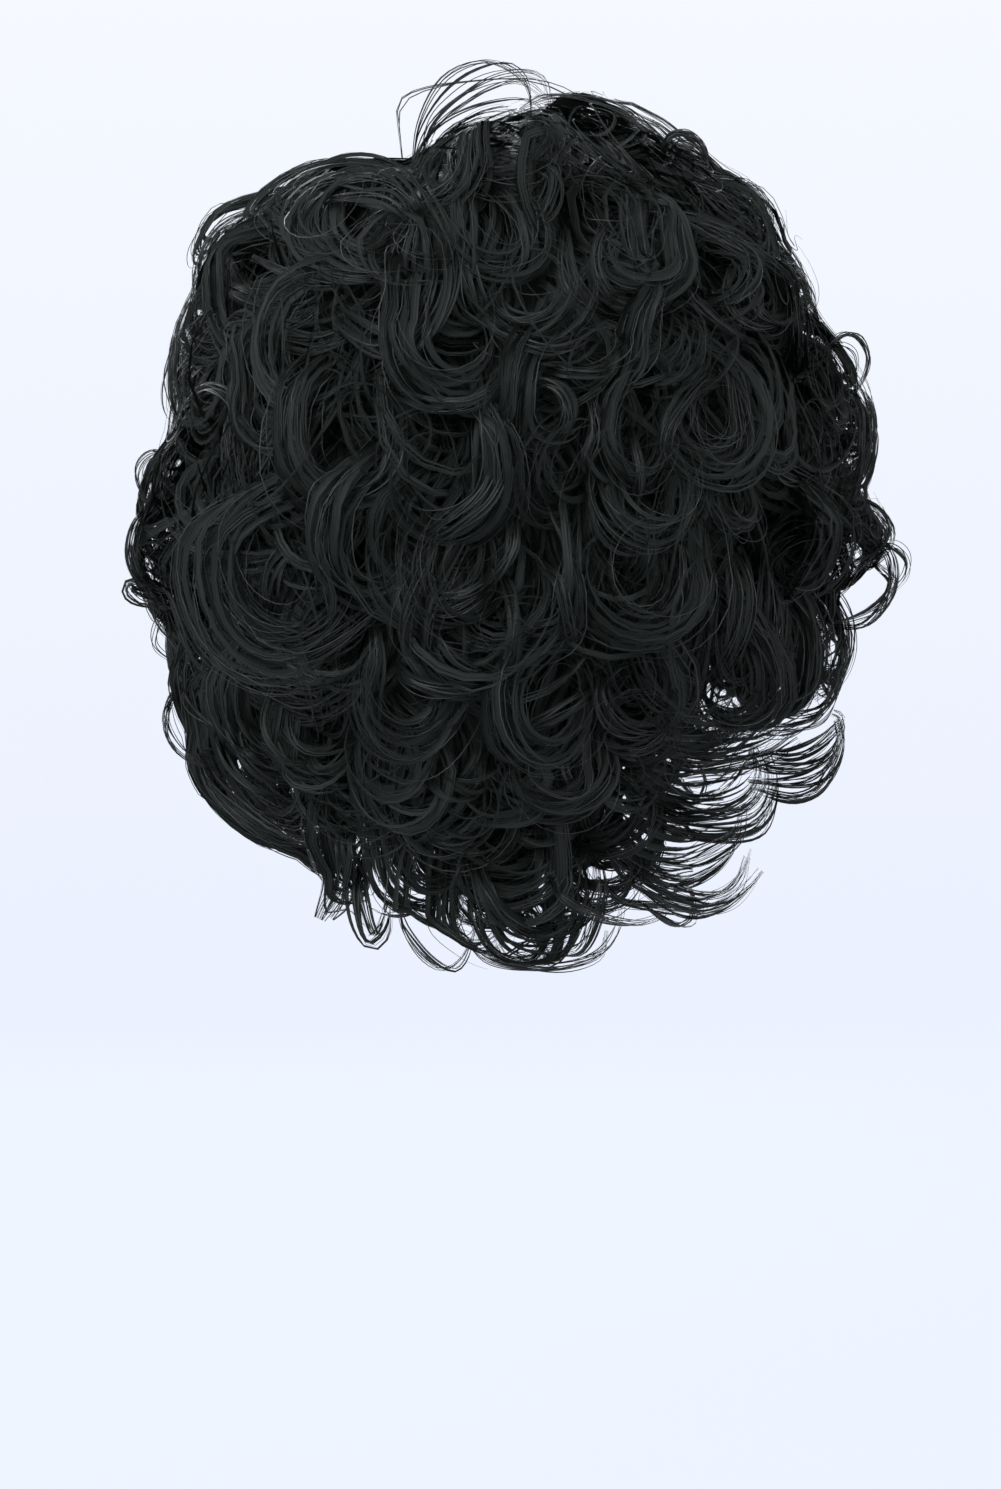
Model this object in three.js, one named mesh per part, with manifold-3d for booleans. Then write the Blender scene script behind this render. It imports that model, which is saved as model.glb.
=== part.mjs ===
// A short black curly wig, in the shape that it has when worn: a stretch cap with a band inside
// its rim, and rows of curled hair sewn on from the crown down to the nape.
// Millimetres, +Z up, the face side towards -Y and the wearer's left towards +X.
// The origin is the inside of the cap at the crown, where the cap sits on the head.
import * as THREE from "three";
import { mergeVertices } from "three/addons/utils/BufferGeometryUtils.js";
import Module from "manifold-3d";

const wasm = await Module();
wasm.setup();

// The head that the cap fits
const headHalfWidth = 76;
const headFront = 92;
const headBack = 97;
const headRise = 105; // from the widest level up to the crown
const headFall = 82; // how far the back of the head rounds in below that level

// The cap and the band inside its rim
const capWall = 1.5;
const bandWall = 1.6;
const bandWidth = 14;
const bandClearance = 0.5;
const rimRoll = 0.6; // how far the band stays back from the cap's edge

// The dressed hair: how far its outer curls stand out from the head
const sideHairDepth = 46;
const frontHairDepth = 24;
const backHairDepth = 41;
const crownHairHeight = 19;
const napeHairLength = 81;
const hairDropHeight = 13; // how far the hair's widest level lies below the head's
const tipHangLength = 29; // how far the lowest tips hang below the rest
const hairSeat = 2; // from the cap to the sewn hair
const curlSeat = 0.7; // from the cap to a curl that lies against it
const rowClearance = 0.7; // between the hair of one row and the next
const leastClearance = 0.4; // the same where curls twist across each other

// One curl
const curlRadius = 14;
const lockWidth = 21;
const lockThickness = 15;

// The neck below the cap, which the nape hair hangs round
const neckHalfWidth = 60;
const neckFront = 70;
const neckBack = 58;
const napeHairDepth = 25;

const named = (columns, rows) =>
  rows.map((row) => Object.fromEntries(columns.split(" ").map((name, i) => [name, row[i]])));

// The cap's rim: turn is the angle round the head from the back, fall the angle down from the crown
const rimPoints = named("turn fall", [
  [0, 132],
  [35, 128],
  [62, 108],
  [82, 92],
  [98, 92],
  [114, 104],
  [130, 84],
  [148, 62],
  [180, 52],
]);

// The rows of sewn hair, from the crown down, each over the row below it. A row reaches the same
// angle each way round from its middle, between a top and a bottom angle down from the crown, which
// are other at its ends. Pack is the depth of its packed hair, as a share of the hair's whole depth
const hairRows = named("name middle reach top bottom endTop endBottom pack", [
  ["crown_row", 0, 180, 0, 38, 0, 38, 0.7],
  ["fringe_row", 180, 52, 38, 58, 38, 62, 0.58],
  ["upper_row", 0, 127, 38, 64, 38, 66, 0.74],
  ["middle_row", 0, 127, 64, 90, 66, 92, 0.75],
  ["lower_row", 0, 125, 90, 118, 92, 118, 0.75],
  ["nape_row", 0, 92, 118, 160, 118, 138, 0.7],
]);

// The curls of the back, charted as they lie: across is a share of the half width, towards the
// wearer's right, drop a share of the height, size and bulk shares of one curl's radius and
// section. A lock with hand 1 falls on the left of its ring, seen from behind, and turns right.
const backCurls = named("across drop size hand sweep bulk", [
  [0.02, 0.04, 1.1, 1, 220, 1],
  [0.32, 0.045, 1.2, -1, 230, 1.1],
  [0.6, 0.09, 0.9, 1, 230, 1],
  [-0.42, 0.11, 1.1, -1, 220, 1],
  [-0.72, 0.14, 0.9, -1, 220, 1],
  [-0.46, 0.2, 1.7, -1, 150, 1.1],
  [-0.76, 0.24, 1.0, -1, 200, 1],
  [0.08, 0.2, 1.2, 1, 220, 1],
  [0.92, 0.27, 0.8, 1, 220, 0.9],
  [-0.19, 0.29, 1.2, 1, 220, 1],
  [-0.48, 0.37, 1.1, 1, 280, 0.9],
  [-0.84, 0.42, 1.0, -1, 230, 1],
  [-0.18, 0.41, 1.3, -1, 210, 1.1],
  [0.15, 0.38, 1.0, -1, 270, 0.9],
  [0.6, 0.36, 1.1, -1, 280, 0.9],
  [-0.62, 0.54, 1.7, -1, 200, 1.1],
  [-0.14, 0.53, 1.2, -1, 220, 1.1],
  [0.41, 0.54, 1.3, -1, 220, 1],
  [-0.58, 0.65, 1.3, 1, 200, 1.1],
  [0.4, 0.69, 1.2, -1, 260, 1],
  [0.72, 0.6, 1.2, -1, 180, 1.1],
  [-0.92, 0.64, 1.0, 1, 210, 1],
  [-0.66, 0.76, 1.6, 1, 150, 1.2],
  [-0.14, 0.7, 1.2, 1, 210, 1.1],
  [0.88, 0.7, 1.1, -1, 210, 1],
  [0.2, 0.78, 1.2, -1, 210, 1],
  [0.6, 0.79, 1.3, -1, 190, 1],
  [-0.48, 0.86, 0.9, -1, 120, 1],
  [0.14, 0.92, 1.1, 1, 220, 1],
  [0.5, 0.87, 1.1, 1, 190, 1],
  [-0.12, 0.91, 1.0, 1, 130, 1.1],
]);

// The curls of the crown, the fringe and the sides, in rings round the head. Each ring is made on
// both sides of the head, and lean is how far its curls stand out from the surface
const ringCurls = named("from to count fall size lean sweep bulk", [
  [98, 150, 2, 22, 1.2, 25, 220, 1.1],
  [98, 170, 3, 44, 1.1, 35, 230, 1],
  [156, 176, 1, 61, 1.1, 45, 230, 1.2],
  [80, 126, 2, 62, 1.2, 35, 230, 1.3],
  [90, 126, 2, 80, 1.2, 35, 230, 1.3],
  [86, 122, 2, 99, 1.3, 40, 230, 1.3],
  [98, 124, 1, 118, 1.2, 45, 220, 1.2],
]);

// The outline of the dressed hair, seen from behind: turn is the angle from straight up towards the
// wearer's right, and reach the outline's distance, as a share of the even form's
const outlinePoints = named("turn reach", [
  [0, 1.01],
  [30, 1.05],
  [58, 1.04],
  [70, 1.1],
  [90, 1.11],
  [101, 1.2],
  [113, 1.12],
  [132, 1.11],
  [142, 1.03],
  [184, 0.98],
  [208, 0.94],
  [226, 1.02],
  [248, 1.08],
  [257, 1.12],
  [268, 1.06],
  [280, 1.01],
  [308, 1.05],
  [330, 0.97],
  [343, 0.9],
  [352, 0.96],
]);

const rad = THREE.MathUtils.degToRad;
const lerp = THREE.MathUtils.lerp;
const ease = (share) => THREE.MathUtils.smoothstep(share, 0, 1);

// A rounded form: turn is the angle round it from the back, fall the angle down from its top
const headForm = (grow) => ({
  level: -headRise,
  halfWidth: headHalfWidth + grow,
  front: headFront + grow,
  back: headBack + grow,
  rise: headRise + grow,
  fall: headFall + grow,
  fullness: 2,
});
const hairForm = {
  level: -headRise - hairDropHeight,
  halfWidth: headHalfWidth + sideHairDepth,
  front: headFront + frontHairDepth,
  back: headBack + backHairDepth,
  rise: headRise + hairDropHeight + crownHairHeight,
  fall: headFall - hairDropHeight + napeHairLength,
  fullness: 2.35,
};
const hairHeight = hairForm.rise + hairForm.fall + tipHangLength;

// The form at a depth in the hair: 0 at the sewn roots and 1 at the outer curls
function formAt(depth) {
  const inner = headForm(capWall + hairSeat);
  return Object.fromEntries(
    Object.keys(inner).map((key) => [key, lerp(inner[key], hairForm[key], depth)]),
  );
}

function onForm(form, turn, fall) {
  const [across, along] = [Math.sin(turn), Math.cos(turn)];
  const reach = along > 0 ? form.back : form.front;
  const level = 1 / Math.hypot(across / form.halfWidth, along / reach);
  const height = Math.cos(fall) > 0 ? form.rise : form.fall;
  const power = form.fullness;
  const radius =
    ((Math.abs(Math.sin(fall)) / level) ** power + (Math.abs(Math.cos(fall)) / height) ** power) **
    (-1 / power);
  return new THREE.Vector3(
    radius * Math.sin(fall) * across,
    radius * Math.sin(fall) * along,
    form.level + radius * Math.cos(fall),
  );
}

function outlineReach(turn) {
  const angle = THREE.MathUtils.euclideanModulo(THREE.MathUtils.radToDeg(turn), 360);
  const next = outlinePoints.findIndex((point) => point.turn > angle);
  const b = next < 0 ? { turn: 360, reach: outlinePoints[0].reach } : outlinePoints[next];
  const a = outlinePoints.at(next < 0 ? -1 : next - 1);
  return lerp(a.reach, b.reach, ease((angle - a.turn) / (b.turn - a.turn)));
}

// Moves a point at a depth in the hair out or in, so that the outer curls meet the outline
function toOutline(point, depth) {
  const height = point.z - hairForm.level;
  const end = height > 0 ? hairForm.rise : hairForm.fall + tipHangLength;
  const power = hairForm.fullness;
  const rim = ((Math.abs(point.x) / hairForm.halfWidth) ** power + (Math.abs(height) / end) ** power) ** (1 / power);
  const weight = THREE.MathUtils.smoothstep(rim, 0.5, 0.95) * THREE.MathUtils.smoothstep(depth, 0, 0.6);
  const scale = 1 + (outlineReach(Math.atan2(-point.x, height)) - 1) * weight;
  return new THREE.Vector3(point.x * scale, point.y, hairForm.level + height * scale);
}

const onHair = (depth, turn, fall) => toOutline(onForm(formAt(depth), turn, fall), depth);

function anglesOf(form, point) {
  const height = point.z - form.level;
  return {
    turn: Math.atan2(point.x, point.y),
    fall: Math.atan2(Math.hypot(point.x, point.y), height),
  };
}

// The way down over the hair at a place; below the head the hair hangs straight
function downAt(depth, turn, fall) {
  const step = 0.05;
  const down = onHair(depth, turn, fall + step).sub(onHair(depth, turn, fall - step)).normalize();
  const hang = THREE.MathUtils.smoothstep(fall, rad(100), rad(135));
  return down.lerp(new THREE.Vector3(0, 0, -1), hang).normalize();
}

function rimFall(turn) {
  const angle = Math.abs(THREE.MathUtils.euclideanModulo(THREE.MathUtils.radToDeg(turn) + 180, 360) - 180);
  const next = Math.max(1, rimPoints.findIndex((point) => point.turn >= angle - 1e-6));
  const [a, b] = [rimPoints[next - 1], rimPoints[next]];
  return rad(lerp(a.fall, b.fall, ease((angle - a.turn) / (b.turn - a.turn))));
}

// Moves every vertex of a geometry to where place puts it
function warp(geometry, place) {
  const position = geometry.attributes.position;
  for (let i = 0; i < position.count; i++) {
    const moved = place(position.getX(i), position.getY(i), position.getZ(i));
    position.setXYZ(i, moved.x, moved.y, moved.z);
  }
  return geometry;
}

function toSolid(geometry) {
  const flat = geometry.index ? geometry.toNonIndexed() : geometry;
  const bare = new THREE.BufferGeometry().setAttribute("position", flat.attributes.position);
  const merged = mergeVertices(bare, 1e-3);
  const triVerts = new Uint32Array(merged.index.array);
  const vertProperties = merged.attributes.position.array;
  const solid = new wasm.Manifold(new wasm.Mesh({ numProp: 3, vertProperties, triVerts }));
  if (solid.volume() > 0) return solid;
  for (let i = 0; i < triVerts.length; i += 3) {
    [triVerts[i + 1], triVerts[i + 2]] = [triVerts[i + 2], triVerts[i + 1]];
  }
  return new wasm.Manifold(new wasm.Mesh({ numProp: 3, vertProperties, triVerts }));
}

function toMesh(name, solid, material) {
  const made = solid.getMesh();
  const geometry = new THREE.BufferGeometry();
  geometry.setAttribute("position", new THREE.BufferAttribute(made.vertProperties, 3));
  geometry.setIndex(new THREE.BufferAttribute(made.triVerts, 1));
  geometry.computeVertexNormals();
  const mesh = new THREE.Mesh(geometry, material);
  mesh.name = name;
  return mesh;
}

// A lathed profile read as share of the way to the rim against layer, then laid on the head
function lathed(profile, segments, place) {
  const points = profile.map(([share, layer]) => new THREE.Vector2(share, layer));
  return warp(new THREE.LatheGeometry(points, segments), (x, y, z) =>
    place(Math.atan2(x, z), Math.hypot(x, z), y),
  );
}

const roundSegments = 28;
const lockSides = 4;
const packStep = 12; // degrees between the packed hair's sections

// The cap's rings lie at even shares of the way to the band's top, and then at the rim
const bandFall = (turn, fromRim) => rimFall(turn) - fromRim / ((headBack + headFront) / 2);

function capSolid() {
  const steps = 5;
  const shares = Array.from({ length: steps + 1 }, (_, i) => i / steps);
  shares.push(2);
  const profile = [...shares.map((share) => [share, 0]), ...shares.reverse().map((share) => [share, 1])];
  return toSolid(
    lathed(profile, roundSegments, (turn, share, layer) => {
      const fall = share > 1.5 ? rimFall(turn) : share * bandFall(turn, rimRoll + bandWidth);
      return onForm(headForm(layer * capWall), turn, fall);
    }),
  );
}

function bandSolid() {
  const profile = [[1, 1], [2, 1], [2, 0], [1, 0], [1, 1]];
  return toSolid(
    lathed(profile, roundSegments, (turn, edge, layer) =>
      onForm(
        headForm(-bandClearance - (1 - layer) * bandWall),
        turn,
        bandFall(turn, rimRoll + (2 - edge) * bandWidth),
      ),
    ),
  );
}

// The form grown outwards by a margin
function grown(form, margin) {
  const bigger = { ...form };
  for (const key of ["halfWidth", "front", "back", "rise", "fall"]) bigger[key] += margin;
  return bigger;
}

const rowTop = (row, share) => rad(lerp(row.top, row.endTop, share * share));
const rowBottom = (row, share) => rad(lerp(row.bottom, row.endBottom, share * share));

// The packed hair of one row, grown by a margin where it cuts its neighbours clear
function packSolid(row, margin) {
  const faceAt = (isOuter, turn, fall) => {
    const depth = isOuter ? row.pack : 0;
    return toOutline(onForm(grown(formAt(depth), isOuter ? margin : -margin), turn, fall), depth);
  };
  const spare = margin / hairForm.halfWidth;
  if (row.reach === 180) {
    const shares = [0, 0.35, 0.7, 1];
    const profile = [...shares.map((share) => [share, 0]), ...shares.reverse().map((share) => [share, 1])];
    return toSolid(
      lathed(profile, roundSegments, (turn, share, layer) =>
        faceAt(layer > 0.5, turn, share * (rowBottom(row, 0) + spare)),
      ),
    );
  }
  const across = Math.round((2 * row.reach) / packStep);
  const down = Math.max(2, Math.round((row.bottom - row.top) / packStep));
  return toSolid(
    warp(new THREE.BoxGeometry(2, 1, 1, across, down, 1), (x, y, z) =>
      faceAt(
        z > 0,
        rad(row.middle) + x * (rad(row.reach) + spare),
        lerp(rowTop(row, Math.abs(x)) - spare, rowBottom(row, Math.abs(x)) + spare, y + 0.5),
      ),
    ),
  );
}

const rootFall = rad(17); // how far above its ring a lock is sewn on
const ringDepth = 0.87;
const faceRound = 0.8; // how far the curls near the sides turn from facing back to facing out
const rootDepth = 0.5;
const bodySteps = 1;
const ringSteps = 5;

// A lock: its ring's centre, the way down and the way that it turns, and its radius
function lockFrom(centre, down, turnWay, entry) {
  const radius = curlRadius * entry.size;
  const start = centre.clone().addScaledVector(turnWay, -radius);
  const form = formAt(ringDepth);
  const { turn, fall } = anglesOf(form, start);
  const root = { turn: turn * 0.97, fall: Math.max(fall - rootFall, rad(6)) };
  return { centre, down, turnWay, radius, start, turn, fall, root, bulk: entry.bulk, sweep: rad(entry.sweep) };
}

function chartedLock(entry) {
  const x = -entry.across * hairForm.halfWidth;
  const z = hairForm.level + hairForm.rise - entry.drop * hairHeight;
  const form = formAt(ringDepth);
  const height = z - form.level;
  const reach = Math.abs(height) / (height > 0 ? form.rise : form.fall);
  const level = Math.max(0, 1 - reach ** form.fullness) ** (2 / form.fullness);
  const overHead = form.back * Math.sqrt(Math.max(0.03, level - (x / form.halfWidth) ** 2));
  const hung = Math.sqrt(Math.max(0, 1 - (x / (neckHalfWidth + napeHairDepth)) ** 2)) * (neckBack + napeHairDepth);
  const centre = new THREE.Vector3(x, Math.max(overHead, hung), z);
  const { turn, fall } = anglesOf(form, centre);
  const down = downAt(ringDepth, turn, fall);
  const turnWay = new THREE.Vector3(1, -faceRound * Math.sign(x) * Math.abs(Math.sin(turn)), 0);
  turnWay.multiplyScalar(-entry.hand).addScaledVector(down, -turnWay.dot(down) * -entry.hand).normalize();
  return lockFrom(centre, down, turnWay, entry);
}

function ringLock(entry, index, side) {
  const share = entry.count > 1 ? index / (entry.count - 1) : 0.5;
  const turn = side * rad(lerp(entry.from, entry.to, share));
  const fall = rad(entry.fall + 5 * (index % 2));
  const hand = side * (index % 2 ? 1 : -1);
  const centre = onHair(ringDepth, turn, fall);
  const down = downAt(ringDepth, turn, fall);
  const around = new THREE.Vector3(Math.cos(turn), -Math.sin(turn), 0);
  const out = down.clone().cross(around).normalize();
  if (out.dot(centre.clone().setZ(0)) < 0) out.negate();
  const lean = rad(entry.lean);
  const turnWay = around.multiplyScalar(hand * Math.cos(lean)).addScaledVector(out, Math.sin(lean));
  turnWay.addScaledVector(down, -turnWay.dot(down)).normalize();
  return lockFrom(centre, down, turnWay, entry);
}

// The stations along a lock: down over the packed hair, then round its ring
function stationsOf(lock) {
  const stations = [];
  const miss = lock.start.clone().sub(onHair(ringDepth, lock.turn, lock.fall));
  for (let i = 0; i < bodySteps; i++) {
    const share = i / bodySteps;
    const point = onHair(
      lerp(rootDepth, ringDepth, ease(share)),
      lerp(lock.root.turn, lock.turn, share),
      lerp(lock.root.fall, lock.fall, share),
    );
    point.addScaledVector(miss, share * share);
    stations.push({ point, side: lock.turnWay.clone().negate() });
  }
  for (let i = 0; i <= ringSteps; i++) {
    const angle = (lock.sweep * i) / ringSteps;
    const radius = lock.radius * (1 - 0.3 * (i / ringSteps));
    const side = lock.turnWay.clone().multiplyScalar(-Math.cos(angle)).addScaledVector(lock.down, Math.sin(angle));
    stations.push({ point: lock.centre.clone().addScaledVector(side, radius), side });
  }
  return stations;
}

function lockSolid(lock, margin) {
  const stations = stationsOf(lock);
  const last = stations.length - 1;
  const halfWidth = Math.min((lockWidth / 2) * lock.bulk, lock.radius * 0.62);
  const halfThickness = Math.min((lockThickness / 2) * lock.bulk, halfWidth);
  const frames = stations.map((station, i) => {
    const before = stations[Math.max(i - 1, 0)].point;
    const after = stations[Math.min(i + 1, last)].point;
    const along = after.clone().sub(before).normalize();
    const wide = station.side.clone().addScaledVector(along, -station.side.dot(along)).normalize();
    return { point: station.point, along, wide, thick: along.clone().cross(wide) };
  });
  const plump = (i) => Math.sin(Math.PI * Math.min(1, 0.25 + 0.5 * (i / last))) ** 0.5 * (1 - 0.45 * (i / last) ** 2);
  const profile = [new THREE.Vector2(0, 0)];
  for (let i = 0; i <= last; i++) profile.push(new THREE.Vector2(plump(i), i + 1));
  profile.push(new THREE.Vector2(0, last + 2));
  return toSolid(
    warp(new THREE.LatheGeometry(profile, lockSides), (x, y, z) => {
      const end = y < 0.5 ? -1 : y > last + 1.5 ? 1 : 0;
      const frame = frames[THREE.MathUtils.clamp(Math.round(y) - 1, 0, last)];
      return frame.point
        .clone()
        .addScaledVector(frame.wide, x * (halfWidth + margin))
        .addScaledVector(frame.thick, z * (halfThickness + margin))
        .addScaledVector(frame.along, end * (halfThickness * 0.8 + margin));
    }),
  );
}

const locks = [
  ...backCurls.map(chartedLock),
  ...ringCurls.flatMap((entry) =>
    [1, -1].flatMap((side) => Array.from({ length: entry.count }, (_, i) => ringLock(entry, i, side))),
  ),
];

// The row that a lock is sewn on: the one that covers its root
function rowOf(lock) {
  return hairRows.find((row) => {
    const away = Math.abs(THREE.MathUtils.euclideanModulo(lock.root.turn - rad(row.middle) + Math.PI, 2 * Math.PI) - Math.PI);
    const share = away / rad(row.reach);
    return share <= 1 && lock.root.fall >= rowTop(row, share) && lock.root.fall <= rowBottom(row, share);
  });
}

// The neck's way down through the nape hair, from inside the head to below the lowest tips
function neckWay() {
  const height = 2 * hairForm.fall;
  return toSolid(
    warp(new THREE.CylinderGeometry(1, 1, height, roundSegments), (x, y, z) =>
      new THREE.Vector3(x * neckHalfWidth, z * (z > 0 ? neckBack : neckFront), -headRise - height / 2 - y),
    ),
  );
}

// The room that the cap takes, which no curl enters
function capRoom() {
  const down = 18;
  return toSolid(
    warp(new THREE.SphereGeometry(1, roundSegments, down), (x, y, z) =>
      onForm(headForm(capWall + curlSeat), Math.atan2(x, z), Math.acos(THREE.MathUtils.clamp(y, -1, 1))),
    ),
  );
}

function biggest(solid) {
  return solid.decompose().reduce((best, body) => (body.volume() > best.volume() ? body : best));
}

const capMaterial = new THREE.MeshStandardMaterial({ color: 0x0b0b0d, roughness: 0.8 });
const bandMaterial = new THREE.MeshStandardMaterial({ color: 0x121214, roughness: 0.7 });
const hairMaterial = new THREE.MeshStandardMaterial({ color: 0x0c0d0e, roughness: 0.4 });

const wig = new THREE.Group();
wig.add(toMesh("cap", capSolid(), capMaterial));
wig.add(toMesh("rim_band", bandSolid(), bandMaterial));

const sixWays = [[1, 0, 0], [-1, 0, 0], [0, 1, 0], [0, -1, 0], [0, 0, 1], [0, 0, -1]];
const above = [neckWay(), capRoom()];
for (const row of hairRows) {
  const own = locks.filter((lock) => rowOf(lock) === row);
  const build = (margin) => wasm.Manifold.union([packSolid(row, margin), ...own.map((lock) => lockSolid(lock, margin))]);
  let solid = build(0);
  for (const cover of above) solid = solid.subtract(cover);
  const moved = sixWays.map((way) => solid.translate(way.map((step) => step * leastClearance)));
  above.push(wasm.Manifold.union([build(rowClearance), ...moved]));
  wig.add(toMesh(row.name, biggest(solid), hairMaterial));
}

export default wig;
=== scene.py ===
import math

import bpy
import numpy as np
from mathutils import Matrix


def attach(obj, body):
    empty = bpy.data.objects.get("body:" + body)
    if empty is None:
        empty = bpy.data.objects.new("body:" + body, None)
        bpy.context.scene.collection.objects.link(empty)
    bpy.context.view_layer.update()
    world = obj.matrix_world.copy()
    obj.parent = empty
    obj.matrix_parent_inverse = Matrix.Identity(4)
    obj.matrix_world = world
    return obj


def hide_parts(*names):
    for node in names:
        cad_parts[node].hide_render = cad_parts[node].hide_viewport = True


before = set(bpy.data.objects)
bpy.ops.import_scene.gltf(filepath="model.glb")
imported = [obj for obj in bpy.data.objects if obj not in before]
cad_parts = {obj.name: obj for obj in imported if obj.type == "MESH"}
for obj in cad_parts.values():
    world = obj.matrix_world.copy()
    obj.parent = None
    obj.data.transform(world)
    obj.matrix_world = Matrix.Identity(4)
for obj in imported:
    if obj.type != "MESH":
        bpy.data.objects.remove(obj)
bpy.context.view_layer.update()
print("frame loaded")

for thing in bpy.context.selected_objects:
    thing.select_set(False)

# The forms that the hair follows, in millimetres: the cap at the roots, the dressed hair outside
capForm = {"level": -105.0, "halfWidth": 79.5, "front": 95.5, "back": 100.5, "rise": 108.5, "fall": 85.5,
           "fullness": 2.0}
dressed = {"level": -118.0, "halfWidth": 122.0, "front": 116.0, "back": 138.0, "rise": 138.0, "fall": 150.0,
           "fullness": 2.35}
napeHollow = {"halfWidth": 60.0, "back": 58.0, "lift": 25.0}    # no hair grows into it
capMiddle = np.array([0, 0, -110])
hairTop, hairHeight = 20, 317.0

# The camera looks at the back, level with the hair, as the photograph does
view = {"distance": 1.8, "aim": (0.0009, 0.0, -0.2127), "seen": 0.5465, "elevation": 1.0}


def seenAt(x, y, z):
    # where a point shows: across to the right and up, in millimetres on the plane y = 0
    aimX, aimZ = view["aim"][0] * 1000, view["aim"][2] * 1000
    near = view["distance"] * 1000 / (view["distance"] * 1000 - y)
    return -aimX - (x - aimX) * near, aimZ + (z - aimZ - math.radians(view["elevation"]) * y) * near


def placeAt(across, up, y):
    # the x and z of the point that shows there and lies at y
    aimX, aimZ = view["aim"][0] * 1000, view["aim"][2] * 1000
    near = view["distance"] * 1000 / (view["distance"] * 1000 - y)
    return aimX - (across + aimX) / near, aimZ + (up - aimZ) / near + math.radians(view["elevation"]) * y


def formAt(depth):
    # depth 0 is the sewn roots, 1 the outer curls; it may be an array
    return {key: capForm[key] + (dressed[key] - capForm[key]) * depth for key in capForm}


def onHair(depth, turn, fall):
    # turn is the angle round from the back, fall the angle down from the crown
    form = formAt(depth)
    across, along = np.sin(turn), np.cos(turn)
    reach = np.where(along > 0, form["back"], form["front"])
    level = 1 / np.hypot(across / form["halfWidth"], along / reach)
    height = np.where(np.cos(fall) > 0, form["rise"], form["fall"])
    power = form["fullness"]
    size = (np.abs(np.sin(fall)) / level) ** power + (np.abs(np.cos(fall)) / height) ** power
    radius = size ** (-1 / power)
    return np.stack([radius * np.sin(fall) * across, radius * np.sin(fall) * along,
                     form["level"] + radius * np.cos(fall)], axis=-1)


def unit(vector):
    return vector / np.maximum(np.linalg.norm(vector, axis=-1, keepdims=True), 1e-9)


def outwards(point):
    return unit(point - capMiddle)


def smooth(value, low, high):
    share = np.clip((value - low) / (high - low), 0, 1)
    return share * share * (3 - 2 * share)


def downAt(depth, turn, fall):
    # the way down over the hair; below the cap the hair hangs straight
    down = unit(onHair(depth, turn, fall + 0.05) - onHair(depth, turn, fall - 0.05))
    hang = np.asarray(smooth(fall, math.radians(100), math.radians(135)))[..., None]
    return unit(down * (1 - hang) + np.array([0, 0, -1.0]) * hang)


def anglesAt(point):
    # the turn and fall of a point of the dressed hair
    x, y, z = point
    return math.atan2(x, y), math.atan2(math.hypot(x, y), z - dressed["level"])


# The outline seen from behind, as points across to the right and up, in millimetres
outlineCentre = (0.0, -120.0)
outline = [
    # across, up
    (30, 23), (45, 19), (57, 11), (62, 5), (73, 1), (78, -4), (88, -6), (95, -11), (99, -20), (101, -30),
    (106, -37), (113, -47), (116, -58), (121, -68), (129, -80), (134, -91), (135, -102), (132, -113),
    (129, -119), (134, -126), (140, -133), (138, -143), (128, -151), (119, -158), (124, -167), (126, -178),
    (123, -190), (119, -202), (108, -211), (98, -222), (86, -234), (76, -246), (66, -260), (56, -268),
    (44, -276), (36, -288), (25, -293), (10, -294), (-3, -292), (-14, -287), (-24, -279), (-34, -273),
    (-43, -277), (-49, -284), (-56, -272), (-66, -276), (-64, -260), (-72, -249), (-84, -245), (-97, -236),
    (-107, -226), (-111, -215), (-110, -204), (-114, -190), (-119, -176), (-124, -166), (-127, -157),
    (-133, -150), (-135, -142), (-133, -132), (-130, -122), (-126, -110), (-120, -98), (-119, -88),
    (-120, -76), (-119, -62), (-114, -50), (-110, -36), (-103, -26), (-92, -18), (-80, -10), (-66, -3),
    (-50, -1), (-38, -3), (-31, -3), (-28, 3), (-18, 11), (-8, 16), (4, 19), (15, 22),
]
outlineTurns = [math.atan2(across - outlineCentre[0], up - outlineCentre[1]) for across, up in outline]
outlineReach = [math.hypot(across - outlineCentre[0], up - outlineCentre[1]) for across, up in outline]
outlineOrder = np.argsort(np.mod(outlineTurns, 2 * math.pi))
outlineTurns = np.mod(outlineTurns, 2 * math.pi)[outlineOrder]
outlineReach = np.array(outlineReach)[outlineOrder]


def outlineAt(across, up):
    # how far the outline lies from its centre, towards a point, and how far that point lies
    across, up = across - outlineCentre[0], up - outlineCentre[1]
    turn = np.mod(np.arctan2(across, up), 2 * math.pi)
    return np.interp(turn, outlineTurns, outlineReach, period=2 * math.pi), np.hypot(across, up)


def drawn(point, keep):
    # draws a point in or out, as it shows, by a share of its way from the outline's centre
    across, up = seenAt(point[..., 0], point[..., 1], point[..., 2])
    across = outlineCentre[0] + (across - outlineCentre[0]) * keep
    up = outlineCentre[1] + (up - outlineCentre[1]) * keep
    x, z = placeAt(across, up, point[..., 1])
    return np.stack([x, point[..., 1], z], axis=-1)


def toOutline(point):
    # moves a point of the even form out or in, so that the form's rim meets the outline
    x, z = point[..., 0], point[..., 2]
    reach, distance = outlineAt(*seenAt(x, point[..., 1], z))
    height = np.where(z > dressed["level"], dressed["rise"], dressed["fall"] + 22)
    power = dressed["fullness"]
    size = (np.abs(x) / dressed["halfWidth"]) ** power + (np.abs(z - dressed["level"]) / height) ** power
    size = size ** (1 / power)
    even = distance / np.maximum(size, 0.05)
    return drawn(point, 1 + (reach / even - 1) * smooth(size, 0.5, 0.95))


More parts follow.
